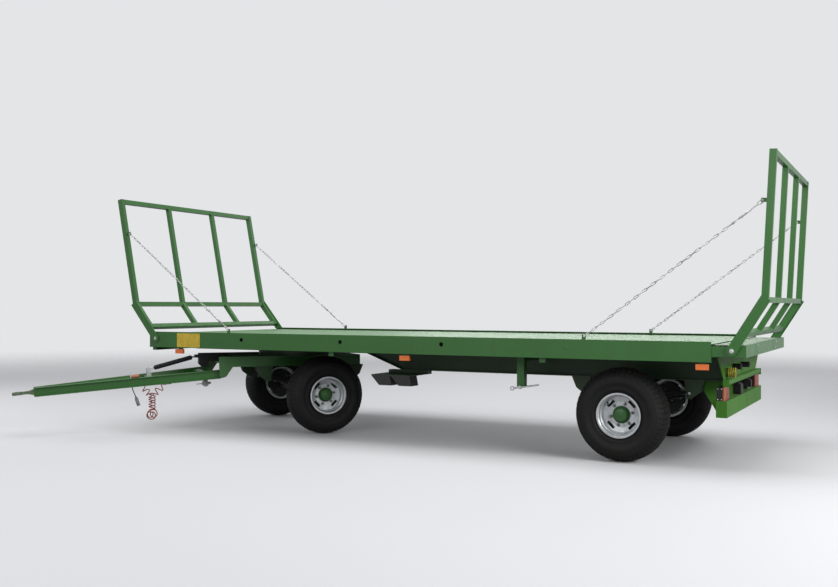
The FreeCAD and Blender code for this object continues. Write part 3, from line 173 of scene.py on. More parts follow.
def hose_look(shade):
    grime = shade.noise(60).limited(0.45, 0.75)
    return {"Base Color": shade.mixed(grime * 0.45, srgb(142, 38, 31), srgb(80, 36, 30)),
            "Roughness": 0.28 + grime * 0.25,
            "Normal": shade.bump(shade.noise(900, 2), 0.0002)}


red_hose = material("red_hose", hose_look)
hose_diameter, hose_length = 0.011, 3.26
hose_y = 0.19545
points_a_turn = 14
# (turn, x, y from hose_y, z, radius, tilt of a turn's first axis, swing of its second one), both in degrees
hose_turns = [(-5.30, 1.898, 0.000, -0.592, 0.031, -40, 0), (-4.75, 1.870, 0.000, -0.620, 0.033, -40, 0),
              (-3.75, 1.828, 0.000, -0.668, 0.034, -36, 0), (-3.25, 1.808, 0.000, -0.682, 0.034, -20, 0),
              (-2.75, 1.792, 0.000, -0.708, 0.035, -6, 0), (-0.50, 1.790, 0.000, -0.832, 0.036, 0, 0),
              (0.10, 1.800, 0.022, -0.872, 0.037, 0, 35), (0.55, 1.821, 0.042, -0.902, 0.038, -6, 80),
              (1.15, 1.812, 0.014, -0.914, 0.040, -4, 90), (1.75, 1.790, -0.001, -0.923, 0.039, 4, 92),
              (2.40, 1.766, -0.016, -0.906, 0.039, 8, 92), (2.95, 1.772, -0.032, -0.886, 0.038, 0, 120),
              (3.40, 1.788, -0.012, -0.850, 0.037, 0, 165), (3.80, 1.790, 0.000, -0.818, 0.036, 0, 180),
              (6.10, 1.786, 0.000, -0.686, 0.036, 0, 180), (6.75, 1.748, 0.000, -0.660, 0.035, 42, 180),
              (7.25, 1.730, 0.000, -0.637, 0.034, 48, 180), (7.75, 1.694, 0.000, -0.611, 0.034, 50, 180),
              (8.40, 1.652, 0.000, -0.583, 0.028, 52, 180)]


def smooth_row(rows, place):
    """Values at a place of a table whose first column rises, on a smooth line through its rows."""
    last = len(rows) - 1
    index = min(sum(row[0] <= place for row in rows) - 1, last - 1)
    span = rows[index + 1][0] - rows[index][0]
    share = (place - rows[index][0]) / span

    def slope(at, column):
        before, after = rows[max(at - 1, 0)], rows[min(at + 1, last)]
        return (after[column] - before[column]) / (after[0] - before[0]) * span

    return [(1 + 2 * share) * (1 - share) ** 2 * rows[index][column] + share * (1 - share) ** 2 * slope(index, column)
            + share ** 2 * (3 - 2 * share) * rows[index + 1][column]
            + share ** 2 * (share - 1) * slope(index + 1, column) for column in range(1, len(rows[0]))]


def line_curve(name, points, diameter, finish):
    """Round line of even thickness, drawn as one smooth NURBS spline."""
    curve = bpy.data.curves.new(name, "CURVE")
    curve.dimensions = "3D"
    curve.bevel_depth = diameter / 2
    curve.bevel_resolution = 3
    curve.resolution_u = 4
    curve.use_fill_caps = True
    line = curve.splines.new("NURBS")
    line.points.add(len(points) - 1)
    for knot, point in zip(line.points, points):
        knot.co = (*point, 1)
    line.order_u = 3
    line.use_endpoint_u = True
    return object_from(name, curve, finish)


hose_points = [steered(1.900, hose_y, -0.540), steered(1.901, hose_y - 0.014, -0.556)]
turn_first, turn_last = hose_turns[0][0], hose_turns[-1][0]
steps = round((turn_last - turn_first) * points_a_turn)
for step in range(steps + 1):
    turn = turn_first + (turn_last - turn_first) * step / steps
    x, y, z, radius, tilt, swing = smooth_row(hose_turns, turn)
    tilt, swing = math.radians(tilt), math.radians(swing)
    aside, facing = radius * math.sin(2 * math.pi * turn), radius * math.cos(2 * math.pi * turn)
    hose_points.append(steered(x + aside * math.cos(tilt), hose_y + y + facing * math.cos(swing),
                               z + aside * math.sin(tilt) + facing * math.sin(swing)))
hose_points += [steered(1.618, hose_y + 0.014, -0.566), steered(1.612, hose_y, -0.548)]
air_hose = line_curve("air_hose", hose_points, hose_diameter, red_hose)
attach(air_hose, "drawbar")
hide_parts("air_hose_coil")


# Lamp cable: a short end of black sheathed cable that hangs from a clip in the web of the left arm.
# It carries the seven-pole plug of the lamps, a bare alloy casting with a collar.
def plastic_look(shade):
    grain = shade.noise(90, 3)
    return {"Base Color": shade.mixed(grain.limited(0.35, 0.7), srgb(14, 14, 14), srgb(26, 26, 25)),
            "Specular IOR Level": 0.25,
            "Roughness": 0.42 + grain * 0.2,
            "Normal": shade.bump(shade.noise(260, 3), 0.0003)}


def casting_look(shade):
    grain = shade.noise(70, 4)
    soot = shade.noise(24, 3).limited(0.45, 0.7)
    base = shade.mixed(grain.limited(0.35, 0.7), srgb(140, 142, 140), srgb(104, 106, 104))
    return {"Base Color": shade.mixed(soot * 0.55, base, srgb(40, 41, 40)),
            "Metallic": 0.5,
            "Roughness": 0.46 + grain * 0.2,
            "Normal": shade.bump(grain, 0.0004)}


black_plastic = material("black_plastic", plastic_look)
grey_casting = material("grey_casting", casting_look)
cable_diameter, cable_length = 0.010, 0.136
cable_points = [steered(x, 0.160, z) for x, z in ((2.0088, -0.569), (2.0062, -0.589), (1.9990, -0.622),
                                                  (1.9845, -0.660), (1.9730, -0.682), (1.9673, -0.6974))]
lamp_lead = line_curve("lamp_lead", cable_points, cable_diameter, black_plastic)
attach(lamp_lead, "drawbar")
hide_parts("lamp_cable")


# Studio: a pale floor that fades into a pale backdrop, with soft lamps above and beside the wagon.
# The lamp on the rear side is the stronger one, as the bumper's rear face is brighter than the side.
def studio_lamp(name, place, target, width, height, power):
    """Soft rectangular lamp at a place, facing its target."""
    lamp = bpy.data.lights.new(name, "AREA")
    lamp.shape = "RECTANGLE"
    lamp.size, lamp.size_y = width, height
    lamp.energy = power
    made = bpy.data.objects.new(name, lamp)
    made.location = place
    made.rotation_mode = "QUATERNION"
    made.rotation_quaternion = (Vector(target) - Vector(place)).to_track_quat("-Z", "Y")
    bpy.context.scene.collection.objects.link(made)


ground_z = -1.110
studio_lamp("lamp_overhead", (0, 0.5, 6.5), (0, 0, 0), 10, 6, 520)
studio_lamp("lamp_rear", (-9, 3.5, 2.8), (-2, 0, -0.2), 4, 3, 520)
studio_lamp("lamp_side", (1, 11, 3.5), (0, 0, -0.2), 9, 3, 330)
studio_lamp("lamp_far_side", (2, -11, 4), (0, 0, -0.2), 8, 3, 260)
studio_lamp("lamp_front", (10, 2, 3.5), (2, 0, -0.2), 4, 3, 220)

world = bpy.data.worlds.new("studio")
world.use_nodes = True
bpy.context.scene.world = world
sky = Shade(world.node_tree)


def as_seen(shade, lighting, shown):
    """Colour shown to the camera and in reflections, and another one for the light that it gives off."""
    seen = [shade.node("ShaderNodeLightPath", {}, {}, name)
            for name in ("Is Camera Ray", "Is Glossy Ray", "Is Transmission Ray")]
    return shade.mixed(seen[0] + seen[1] + seen[2], lighting, shown)


sky_colour = as_seen(sky, srgb(150, 152, 155), srgb(228, 229, 231))
world.node_tree.links.new(sky_colour.socket, world.node_tree.nodes["Background"].inputs["Color"])


def mesh_from(form, name, smooth=True, sharp=None):
    """Mesh of what was built in form; edges of more than sharp degrees stay crisp."""
    mesh = bpy.data.meshes.new(name)
    form.to_mesh(mesh)
    form.free()
    if smooth:
        mesh.shade_smooth()
    if sharp:
        mesh.set_sharp_from_angle(angle=math.radians(sharp))
    return mesh


floor_radius, fade_start, fade_end = 45, 6.5, 24
floor_form = bmesh.new()
bmesh.ops.create_circle(floor_form, cap_ends=True, segments=96, radius=floor_radius)
floor_finish = bpy.data.materials.new("floor")
floor_finish.use_nodes = True
floor_tree = floor_finish.node_tree
floor_shade = Shade(floor_tree)
away = floor_shade.node("ShaderNodeVectorMath", {"operation": "LENGTH"}, {0: floor_shade.place()}, "Value")
floor_shader = floor_tree.nodes["Principled BSDF"]
floor_colour = as_seen(floor_shade, srgb(66, 66, 68), srgb(200, 200, 202))
floor_tree.links.new(floor_colour.socket, floor_shader.inputs["Base Color"])
floor_shader.inputs["Roughness"].default_value = 0.7
clear = floor_shade.node("ShaderNodeBsdfTransparent", {}, {})
faded = floor_shade.node("ShaderNodeMixShader", {}, {0: away.limited(fade_start, fade_end),
                                                    1: Shade(floor_tree, floor_shader.outputs["BSDF"]), 2: clear})
floor_tree.links.new(faded.socket, floor_tree.nodes["Material Output"].inputs["Surface"])
floor = object_from("floor", mesh_from(floor_form, "floor", smooth=False), floor_finish)
floor.location = (0, 0, ground_z)


# Deck and side rails: pressed and welded sheet steel, sprayed green, with a lashing hole at each cross member.
# The paint has a slight orange peel, some dust on what faces up, and rain streaks down the sides.
def paint(name, colour, streaks=0.25, dust=0.25, rough=0.36, shine=0.35):
    """Sprayed enamel of one colour; streaks and dust say how dirty it is, shine how strong its reflections are."""
    def look(shade):
        cloud = shade.noise(1.6, 4)
        grain = shade.noise(55, 3)
        runs = shade.noise(9, 4, (1, 1, 0.12)).limited(0.5, 0.8)
        settled = shade.facing_up() * grain.limited(0.35, 0.8)
        dark = tuple(c * 0.72 for c in colour[:3]) + (1.0,)
        base = shade.mixed(cloud.limited(0.3, 0.75) * 0.45, colour, dark)
        base = shade.mixed(runs * streaks, base, srgb(58, 66, 50))
        base = shade.mixed(settled * dust, base, srgb(150, 152, 138))
        return {"Base Color": base,
                "Roughness": rough + grain * 0.1 + settled * 0.25 + runs * 0.12,
                "Specular IOR Level": shine,
                "Coat Weight": shine * 0.23,
                "Coat Roughness": 0.18,
                "Normal": shade.bump(shade.noise(420, 2), 0.00012)}
    return material(name, look)


def rounded(piece, width):
    """Gives a piece the small radius of its pressed or cut edges."""
    edge = piece.modifiers.new("edges", "BEVEL")
    edge.width = width
    edge.segments = 2
    edge.limit_method = "ANGLE"
    edge.angle_limit = math.radians(35)
    edge.harden_normals = False
    edge.use_clamp_overlap = True


def painted(finish, *nodes, edge=0.0015):
    """Gives CAD nodes their finish, and their edges a small radius."""
    for node in nodes:
        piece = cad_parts[node]
        piece.data.materials.clear()
        piece.data.materials.append(finish)
        if edge:
            rounded(piece, edge)


rail_green = paint("rail_green", srgb(46, 98, 40))
# The deck is the rails' green painted lighter and paled more on top: painted sheen, along with some dust.
deck_green = paint("deck_green", srgb(62, 116, 60), streaks=0.1, dust=0.5, rough=0.32, shine=0.2)
# Beams and cross members under the deck: the rails' green painted darker, as painted shade from the deck above.
under_green_painted_shade = paint("under_green_painted_shade", srgb(24, 52, 20), streaks=0.4, dust=0.2, rough=0.5)
painted(deck_green, "deck_plate", edge=0)
painted(rail_green, "side_rail_left", "side_rail_right", "front_beam", edge=0.003)
painted(under_green_painted_shade, "cross_members", "main_beams")


# Axles, leaf springs and their hangers: square axle bars with brake plates, painted black as the leaf packs are.
# The packs are clamped under the axles and turn in the eyes of welded hangers, in green painted darker as painted
# shade.
def black_look(shade):
    grain = shade.noise(40, 4)
    settled = shade.facing_up() * grain.limited(0.3, 0.75)
    base = shade.mixed(grain.limited(0.4, 0.7) * 0.5, srgb(20, 20, 20), srgb(34, 34, 32))
    return {"Base Color": shade.mixed(settled * 0.25, base, srgb(84, 80, 70)),
            "Specular IOR Level": 0.3,
            "Roughness": 0.42 + grain * 0.2,
            "Normal": shade.bump(shade.noise(350, 2), 0.0002)}


black_paint = material("black_paint", black_look)
painted(black_paint, "front_axle", "rear_axle", "front_springs", "rear_springs", edge=0.002)
painted(under_green_painted_shade, "front_spring_hangers", "rear_spring_hangers")


# Tyres: trailer tyres with a round crown, a narrow centre rib, two zigzag grooves and rows of small shoulder blocks.
# Black rubber, faintly brown with dust on the sidewalls, moulded with fine rings above the bead.
def rubber_look(shade):
    dust = shade.noise(7, 4).limited(0.4, 0.75)
    base = shade.mixed(dust * 0.5, srgb(15, 15, 15), srgb(31, 29, 25))
    return {"Base Color": base,
            "Specular IOR Level": 0.2,
            "Roughness": 0.66 + dust * 0.2,
            "Normal": shade.bump(shade.noise(220, 3), 0.0006)}


rubber = material("rubber", rubber_look)
pitches = 52
tread_depth, zigzag_reach = 0.007, 0.003
# (across, radius, share of the tread's depth at ribs, the same between lugs, slant, zigzag), from the crown out
tyre_rows = [(0, 0.4350, 0, 0, 0, 0), (0.0090, 0.4350, 0, 0, 0, 1), (0.0110, 0.4350, 1, 1, 0, 1),
             (0.0165, 0.4348, 1, 1, 0, 1), (0.0185, 0.4347, 0, 0.2, 0, 1), (0.0300, 0.4340, 0, 0.7, 0.2, 0),
             (0.0440, 0.4325, 0, 0.7, 0.4, 1), (0.0460, 0.4322, 1, 1, 0.4, 1), (0.0515, 0.4311, 1, 1, 0.4, 1),
             (0.0535, 0.4307, 0, 1, 0.4, 1), (0.0720, 0.4255, 0, 1, 0.7, 0), (0.0900, 0.4190, 0, 1, 1, 1),
             (0.0920, 0.4182, 1, 1, 1, 1), (0.0970, 0.4160, 1, 1, 1, 1), (0.0990, 0.4152, 0, 1, 1, 1),
             (0.1120, 0.4090, 0, 1, 0.9, 0), (0.1250, 0.4015, 0, 1, 0.8, 0), (0.1380, 0.3910, 0, 0.9, 0.7, 0),
             (0.1490, 0.3790, 0, 0.6, 0.6, 0), (0.1565, 0.3690, 0, 0.2, 0.5, 0), (0.1605, 0.3630, 0, 0, 0.4, 0),
             (0.1640, 0.3600, 0, 0, 0.2, 0), (0.1645, 0.3560, 0, 0, 0, 0), (0.1635, 0.3530, 0, 0, 0, 0),
             (0.1680, 0.3430, 0, 0, 0, 0), (0.1712, 0.3300, 0, 0, 0, 0), (0.1722, 0.3150, 0, 0, 0, 0),
             (0.1714, 0.2985, 0, 0, 0, 0), (0.1698, 0.2965, 0, 0, 0, 0), (0.1680, 0.2890, 0, 0, 0, 0),
             (0.1660, 0.2870, 0, 0, 0, 0), (0.1600, 0.2680, 0, 0, 0, 0), (0.1545, 0.2490, 0, 0, 0, 0),
             (0.1565, 0.2440, 0, 0, 0, 0), (0.1540, 0.2385, 0, 0, 0, 0), (0.1480, 0.2330, 0, 0, 0, 0),
             (0.1400, 0.2230, 0, 0, 0, 0), (0.1345, 0.2160, 0, 0, 0, 0), (0.1327, 0.2085, 0, 0, 0, 0)]
# (place within a pitch, 1 if it is between lugs, zigzag)
tyre_columns = [(0, 0, -1), (0.19, 0, -0.35), (0.38, 0, 0.35), (0.57, 0, 1), (0.76, 0, 0.3), (0.80, 1, 0.15),
                (0.96, 1, -0.8)]


def tyre_mesh():
    """Tyre about its own Y axis: a grid whose lines follow the edges of ribs and lugs."""
    rows = [(-a, r, g, b, -s, -z) for a, r, g, b, s, z in tyre_rows[:0:-1]] + tyre_rows
    form = bmesh.new()
    rings = []
    for across, radius, rib, between, slant, zigzag in rows:
        ring = []
        for pitch in range(pitches):
            for place, gap, wave in tyre_columns:
                turn = 2 * math.pi * (pitch + place + 0.5 * slant + (0.5 if across < 0 else 0)) / pitches
                deep = radius - tread_depth * (between if gap else rib)
                ring.append(form.verts.new((deep * math.cos(turn), across + zigzag_reach * zigzag * wave,
                                            deep * math.sin(turn))))
        rings.append(ring)
    for low, high in zip(rings, rings[1:]):
        for index in range(len(low)):
            after = (index + 1) % len(low)
            form.faces.new((low[index], high[index], high[after], low[after]))
    return mesh_from(form, "tyre", sharp=38)


def outward(side):
    """Turn that points a piece's own Y to the left side or to the right one."""
    return Matrix.Rotation(0 if side > 0 else math.pi, 4, "Z")


half_track, wheel_z, rear_axle_x = 0.982, -0.675, -2.350
wheel_places = {f"{end}_{word}": axle @ Matrix.Translation((0, side * half_track, wheel_z)) @ outward(side)
                for end, axle in (("front", Matrix.Translation((turntable_x, 0, 0)) @ Matrix.Rotation(steer, 4, "Z")),
                                  ("rear", Matrix.Translation((rear_axle_x, 0, 0))))
                for word, side in (("left", 1), ("right", -1))}
treaded = tyre_mesh()
for place, matrix in wheel_places.items():
    tyre = object_from(f"treaded_tyre_{place}", treaded.copy(), rubber)
    tyre.matrix_world = matrix
    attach(tyre, f"wheel_{place}")
    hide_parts(f"tyre_{place}")


# Rims and hubs: pressed steel rims, sprayed silver, on cast hubs in green.
# Six studs with nuts and washers hold each rim, and it has a pressed hub cap and a rubber valve.
def silver_look(shade):
    grain = shade.noise(30, 4)
    grime = shade.noise(6, 4).limited(0.45, 0.8)
    base = shade.mixed(grain.limited(0.35, 0.7) * 0.5, srgb(178, 182, 184), srgb(150, 154, 156))
    return {"Base Color": shade.mixed(grime * 0.4, base, srgb(104, 100, 92)),
            "Metallic": 0.55,
            "Roughness": 0.34 + grain * 0.12 + grime * 0.2,
            "Normal": shade.bump(shade.noise(500, 2), 0.00015)}


def zinc_look(shade):
    grain = shade.noise(140, 4)
    return {"Base Color": shade.mixed(grain.limited(0.35, 0.7), srgb(186, 188, 188), srgb(138, 140, 140)),
            "Metallic": 0.85,
            "Roughness": 0.3 + grain * 0.2,
            "Normal": shade.bump(grain, 0.0002)}


silver_paint = material("silver_paint", silver_look)
zinc = material("zinc", zinc_look)
hub_green = paint("hub_green", srgb(44, 90, 40), streaks=0.2, dust=0.2)
for place, matrix in wheel_places.items():
    painted(silver_paint, f"rim_{place}", edge=0.0015)
    painted(hub_green, f"hub_{place}", edge=0.0015)


def turned_mesh(name, points, segments=48):
    """Mesh of revolution about Y through (radius, along) points."""
    form = bmesh.new()
    line = [form.verts.new((radius, along, 0)) for radius, along in points]
    edges = [form.edges.new(pair) for pair in zip(line, line[1:])]
    bmesh.ops.spin(form, geom=line + edges, cent=(0, 0, 0), axis=(0, 1, 0), angle=2 * math.pi, steps=segments)
    bmesh.ops.remove_doubles(form, verts=form.verts, dist=1e-5)
    bmesh.ops.recalc_face_normals(form, faces=form.faces)
    return mesh_from(form, name, sharp=35)


def joined(name, parts, finish):
    """One object of several (mesh, matrix) parts."""
    form = bmesh.new()
    for mesh, matrix in parts:
        copy = mesh.copy()
        copy.transform(matrix)
        form.from_mesh(copy)
        bpy.data.meshes.remove(copy)
    return object_from(name, mesh_from(form, name, smooth=False, sharp=35), finish)


def fitted(name, parts, finish, body="chassis"):
    """One object of several small parts that rides on a body."""
    piece = joined(name, parts, finish)
    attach(piece, body)
    return piece


def ring_of(form, middle, first, second, radius, sides):
    """Round of vertices about a point, from its first axis towards the second."""
    return [form.verts.new(middle + first * (radius * math.cos(2 * math.pi * k / sides))
                           + second * (radius * math.sin(2 * math.pi * k / sides))) for k in range(sides)]


def skin(form, low, high):
    """Faces between two rounds of vertices."""
    for k in range(len(low)):
        after = (k + 1) % len(low)
        form.faces.new((low[k], low[after], high[after], high[k]))


def hexagon_mesh(name, flats, height, chamfer, stud, stud_length):
    """Nut with chamfered corners and the end of its stud, along +Y from its seat."""
    form = bmesh.new()
    first, second = Vector((1, 0, 0)), Vector((0, 0, 1))
    corner = flats / math.sqrt(3)
    levels = ((0, corner), (height - chamfer, corner), (height, corner - 1.4 * chamfer))
    rings = [ring_of(form, Vector((0, along, 0)), first, second, radius, 6) for along, radius in levels]
    for low, high in zip(rings, rings[1:]):
        skin(form, low, high)
    form.faces.new(rings[-1])
    for along, radius, last in ((height - 0.0005, stud, False), (height + stud_length - 0.001, stud, False),
                                (height + stud_length, stud - 0.0012, True)):
        ring = ring_of(form, Vector((0, along, 0)), first, second, radius, 16)
        if along > height:
            skin(form, before, ring)
        if last:
            form.faces.new(ring)
        before = ring
    bmesh.ops.recalc_face_normals(form, faces=form.faces)
    return mesh_from(form, name)


wheel_nut = hexagon_mesh("wheel_nut", 0.024, 0.014, 0.002, 0.008, 0.008)
washer = turned_mesh("washer", [(0.009, 0), (0.0155, 0), (0.0155, 0.003), (0.009, 0.003)], 24)
valve = turned_mesh("valve", [(0.0075, -0.004), (0.0075, 0.004), (0.0045, 0.006), (0.0045, 0.030), (0.0055, 0.031),
                              (0.0055, 0.042), (0.0030, 0.044), (0.0005, 0.044)], 16)
hub_cap = turned_mesh("hub_cap", [(0.0760, 0.0420), (0.0792, 0.0420), (0.0794, 0.0400), (0.0800, 0.0405),
                                  (0.0802, 0.0425), (0.0775, 0.0450), (0.0660, 0.0560), (0.0600, 0.0640),
                                  (0.0575, 0.0668), (0.0540, 0.0682), (0.0505, 0.0672), (0.0460, 0.0690),
                                  (0.0310, 0.0722), (0.0290, 0.0712), (0.0240, 0.0712), (0.0220, 0.0728),
                                  (0.0080, 0.0738), (0.0005, 0.0738)])
first_stud, stud_circle, stud_seat, washer_thickness = 0.2, 0.1025, 0.028, 0.003
valve_turn, valve_lean, valve_seat = -0.7, 0.35, (0.168, 0.042, 0)
for place, matrix in wheel_places.items():
    seats = []
    for k in range(6):
        seat = Matrix.Rotation(k * math.pi / 3 + first_stud, 4, "Y") @ Matrix.Translation((stud_circle, stud_seat, 0))
        seats += [(washer, seat), (wheel_nut, seat @ Matrix.Translation((0, washer_thickness, 0)))]
    nuts = fitted(f"wheel_nuts_{place}", seats, grey_casting, f"wheel_{place}")
    nuts.matrix_world = matrix
    cap = object_from(f"hub_cap_{place}", hub_cap.copy(), hub_green)
    cap.matrix_world = matrix
    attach(cap, f"wheel_{place}")
    stem = object_from(f"valve_{place}", valve.copy(), black_paint)
    stem.matrix_world = matrix @ Matrix.Rotation(valve_turn, 4, "Y") @ Matrix.Translation(valve_seat) \
        @ Matrix.Rotation(valve_lean, 4, "Z")
    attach(stem, f"wheel_{place}")


# Turntable and steered carriage: two steel rings with a race between them, over a welded frame of green beams.
# The nose, an arm ahead of the frame, holds the upper end of the drawbar's balance spring; it is painted black, as
# painted shade under the deck.
# The rings are in the darker green of painted shade under the deck.
painted(under_green_painted_shade, "turntable_upper_ring", "turntable_lower_ring")
painted(rail_green, "turntable_carriage")
# The nose is painted black as painted shade under the deck.
painted(black_paint, "carriage_nose")


# Drawbar: two green channels with welded ties, hinged on the carriage's lugs, that meet in a forged towing eye.
# The eye's paint is worn to the steel in places, and the balance spring's bracket and hooks are zinc-plated.
def eye_look(shade):
    grain = shade.noise(60, 4)
    worn = grain.limited(0.42, 0.6)
    return {"Base Color": shade.mixed(worn * 0.7, srgb(58, 92, 56), srgb(120, 116, 108)),
            "Metallic": worn * 0.7,
            "Roughness": 0.42 + grain * 0.2,
            "Normal": shade.bump(grain, 0.0006)}


painted(rail_green, "drawbar_frame", edge=0.002)
painted(material("worn_eye", eye_look), "drawbar_eye", edge=0.004)
painted(zinc, "spring_bracket", "spring_upper_hook", "spring_lower_hook", edge=0.001)


# Brake valve and supply coupling: a round alloy valve under the cross tie with its release lever, and the red
# coupling head parked in a steel holder on the left arm. The lamp plug is an alloy casting of the same kind.
def coupling_look(shade):
    grain = shade.noise(60, 3)
    return {"Base Color": shade.mixed(grain.limited(0.4, 0.7), srgb(176, 104, 84), srgb(140, 76, 60)),
            "Roughness": 0.4 + grain * 0.2,
            "Normal": shade.bump(shade.noise(260, 2), 0.0003)}


painted(grey_casting, "brake_valve", "lamp_plug", edge=0.0015)
painted(material("coupling_red", coupling_look), "supply_coupling", edge=0.0015)
painted(zinc, "hose_holder", edge=0.001)


# Balance spring: a long tension spring of black wire, its turns touching, from the carriage's nose to the drawbar.
# It hangs in a hook at each end.
def wound_tube(name, points, radius, sides):
    """Closed tube of even thickness along a list of points."""
    form = bmesh.new()
    rings = []
    normal = None
    for index, point in enumerate(points):
        before = points[max(index - 1, 0)]
        after = points[min(index + 1, len(points) - 1)]
        along = (after - before).normalized()
        normal = along.orthogonal() if normal is None else normal
        normal = (normal - along * normal.dot(along)).normalized()
        rings.append(ring_of(form, point, normal, along.cross(normal), radius, sides))
    for low, high in zip(rings, rings[1:]):
        skin(form, low, high)
    form.faces.new(rings[0][::-1])
    form.faces.new(rings[-1])
    return mesh_from(form, name, sharp=50)


spring_top = steered(1.264, 0, -0.266)
spring_along = Vector((0.608503, 0.751438, -0.255078))
spring_side = spring_along.orthogonal().normalized()
spring_up = spring_along.cross(spring_side)
spring_start, spring_length, spring_wire, spring_radius = 0.045, 0.4543, 0.004, 0.028
end_radius, closing_share = 0.006, 1 / 40
spring_turns = round(spring_length / (2.1 * spring_wire))
spring_steps = spring_turns * 12
spring_points = []
for step in range(spring_steps + 1):
    share = step / spring_steps
    closing = min(1, share / closing_share, (1 - share) / closing_share)
    reach = end_radius + (spring_radius - spring_wire - end_radius) * closing
    angle = 2 * math.pi * spring_turns * share
    spring_points.append(spring_top + spring_along * (spring_start + spring_length * share)
                         + spring_side * (reach * math.cos(angle)) + spring_up * (reach * math.sin(angle)))
coil = object_from("balance_coil", wound_tube("balance_coil", spring_points, spring_wire, 6), black_paint)
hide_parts("drawbar_spring")
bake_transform(coil)


# Bale racks: ladders of square green tube, welded to flat foot plates that turn on pins outside the rails.
# Washers and pin ends, and the bolts of the rear springs and of the extension, are zinc-plated.
painted(rail_green, "front_rack", "rear_rack", edge=0.003)
painted(zinc, "front_rack_pins", edge=0.0015)
rack_washer = turned_mesh("rack_washer", [(0.0122, 0), (0.0190, 0), (0.0200, 0.0006), (0.0200, 0.0024),
                                          (0.0192, 0.0030), (0.0134, 0.0030), (0.0134, 0.0085), (0.0118, 0.0100),
                                          (0.0005, 0.0100)], 32)
spring_bolt = turned_mesh("spring_bolt", [(0.0130, 0), (0.0130, 0.003), (0.0085, 0.003), (0.0085, 0.011),
                                          (0.0070, 0.013), (0.0005, 0.013)], 20)
plate_bolt = turned_mesh("plate_bolt", [(0.0110, 0), (0.0110, 0.002), (0.0075, 0.003), (0.0070, 0.007),
                                        (0.0050, 0.009), (0.0005, 0.009)], 18)


def sideways(mesh, x, y, z):
    """The same part at both sides of the wagon, its own Y pointing outwards."""
    return [(mesh, Matrix.Translation((x, side * y, z)) @ outward(side)) for side in (1, -1)]


rearward = Matrix.Rotation(math.pi / 2, 4, "Z")
pin_y, pin_z, spring_y, spring_eye_z = 1.2632, -0.055, 0.495, -0.500
for end, x in (("front", 3.110), ("rear", -3.378)):
    fitted(f"{end}_pin_washers", sideways(rack_washer, x, pin_y, pin_z), zinc)
fitted("spring_bolts", [part for x in (-2.860, -1.840)
                        for part in sideways(spring_bolt, x, spring_y, spring_eye_z)], zinc)
beam_face_x = -3.495
fitted("extension_bolts", [(plate_bolt, Matrix.Translation((beam_face_x, side * y, z)) @ rearward)
                           for side in (1, -1) for y, z in ((0.600, -0.028), (0.540, -0.082))], zinc)


# Film and plug on the left rail: a plain yellow plastic film, stuck on near the front, and a pressed plug.
# The plug is painted green with the rail, and closes its rear lashing hole.
def sticker_look(shade):
    grain = shade.noise(30, 3)
    return {"Base Color": shade.mixed(grain.limited(0.35, 0.7), srgb(206, 178, 50), srgb(186, 160, 44)),
            "Roughness": 0.4 + grain * 0.15,
            "Normal": shade.bump(shade.noise(200, 2), 0.0001)}


sticker_form = bmesh.new()
film_middle, film_size = (2.625, 1.2502, -0.071), (0.335, 0.0006, 0.158)
bmesh.ops.create_cube(sticker_form, size=1,
                      matrix=Matrix.Translation(film_middle) @ Matrix.Diagonal((*film_size, 1)))
sticker = object_from("rail_sticker", mesh_from(sticker_form, "rail_sticker", smooth=False),
                      material("yellow_film", sticker_look))
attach(sticker, "chassis")
plug = turned_mesh("plug", [(0.0226, -0.005), (0.0226, -0.0008), (0.0215, 0.0002), (0.0120, 0.0008),
                            (0.0005, 0.0010)], 32)
fitted("rail_plug", [(plug, Matrix.Translation((-1.890, 1.250, -0.053)))], rail_green)


# Chains: long-link zinc-plated chain, with a shackle and a screwed rod at one end, from a lug on the rail to a lug
# on the rack's post. Each one is drawn straight and is held by a pin at both ends.
def chain_look(shade):
    grain = shade.noise(30, 4)
    grime = shade.noise(9, 3).limited(0.4, 0.65)
    base = shade.mixed(grain.limited(0.35, 0.65), srgb(206, 208, 206), srgb(150, 152, 150))
    return {"Base Color": shade.mixed(grime * 0.5, base, srgb(88, 88, 84)),
            "Metallic": 0.35,
            "Roughness": 0.4 + grain * 0.2,
            "Normal": shade.bump(shade.noise(300, 3), 0.0003)}


chain_zinc = material("chain_zinc", chain_look)


def closed_wire(name, points, wire, across, sides=6):
    """Ring of round wire along flat points; across is the direction that its plane faces."""
    form = bmesh.new()
    rings = []
    for index, point in enumerate(points):
        along = (points[(index + 1) % len(points)] - points[index - 1]).normalized()
        rings.append(ring_of(form, point, along.cross(across), across, wire, sides))
    for low, high in zip(rings, rings[1:] + rings[:1]):
        skin(form, low, high)
    bmesh.ops.recalc_face_normals(form, faces=form.faces)
    return mesh_from(form, name)


def link_mesh(pitch, wire, inner):
    """One long link along Z, wide in X, its wire bent round both ends."""
    half = pitch / 2 + wire - inner
    points = [Vector((end * inner * math.cos(angle), 0, end * (half + inner * math.sin(angle))))
              for end in (1, -1) for angle in (math.pi * step / 8 for step in range(9))]
    return closed_wire("link", points, wire, Vector((0, 1, 0)))


def threaded(low, high, radius, pitch=0.0025, depth=0.0009):
    """(radius, along) points of a screwed stretch."""
    count = round((high - low) / pitch)
    return [(radius - (depth if step % 2 else 0), low + (high - low) * step / (2 * count))
            for step in range(2 * count + 1)]


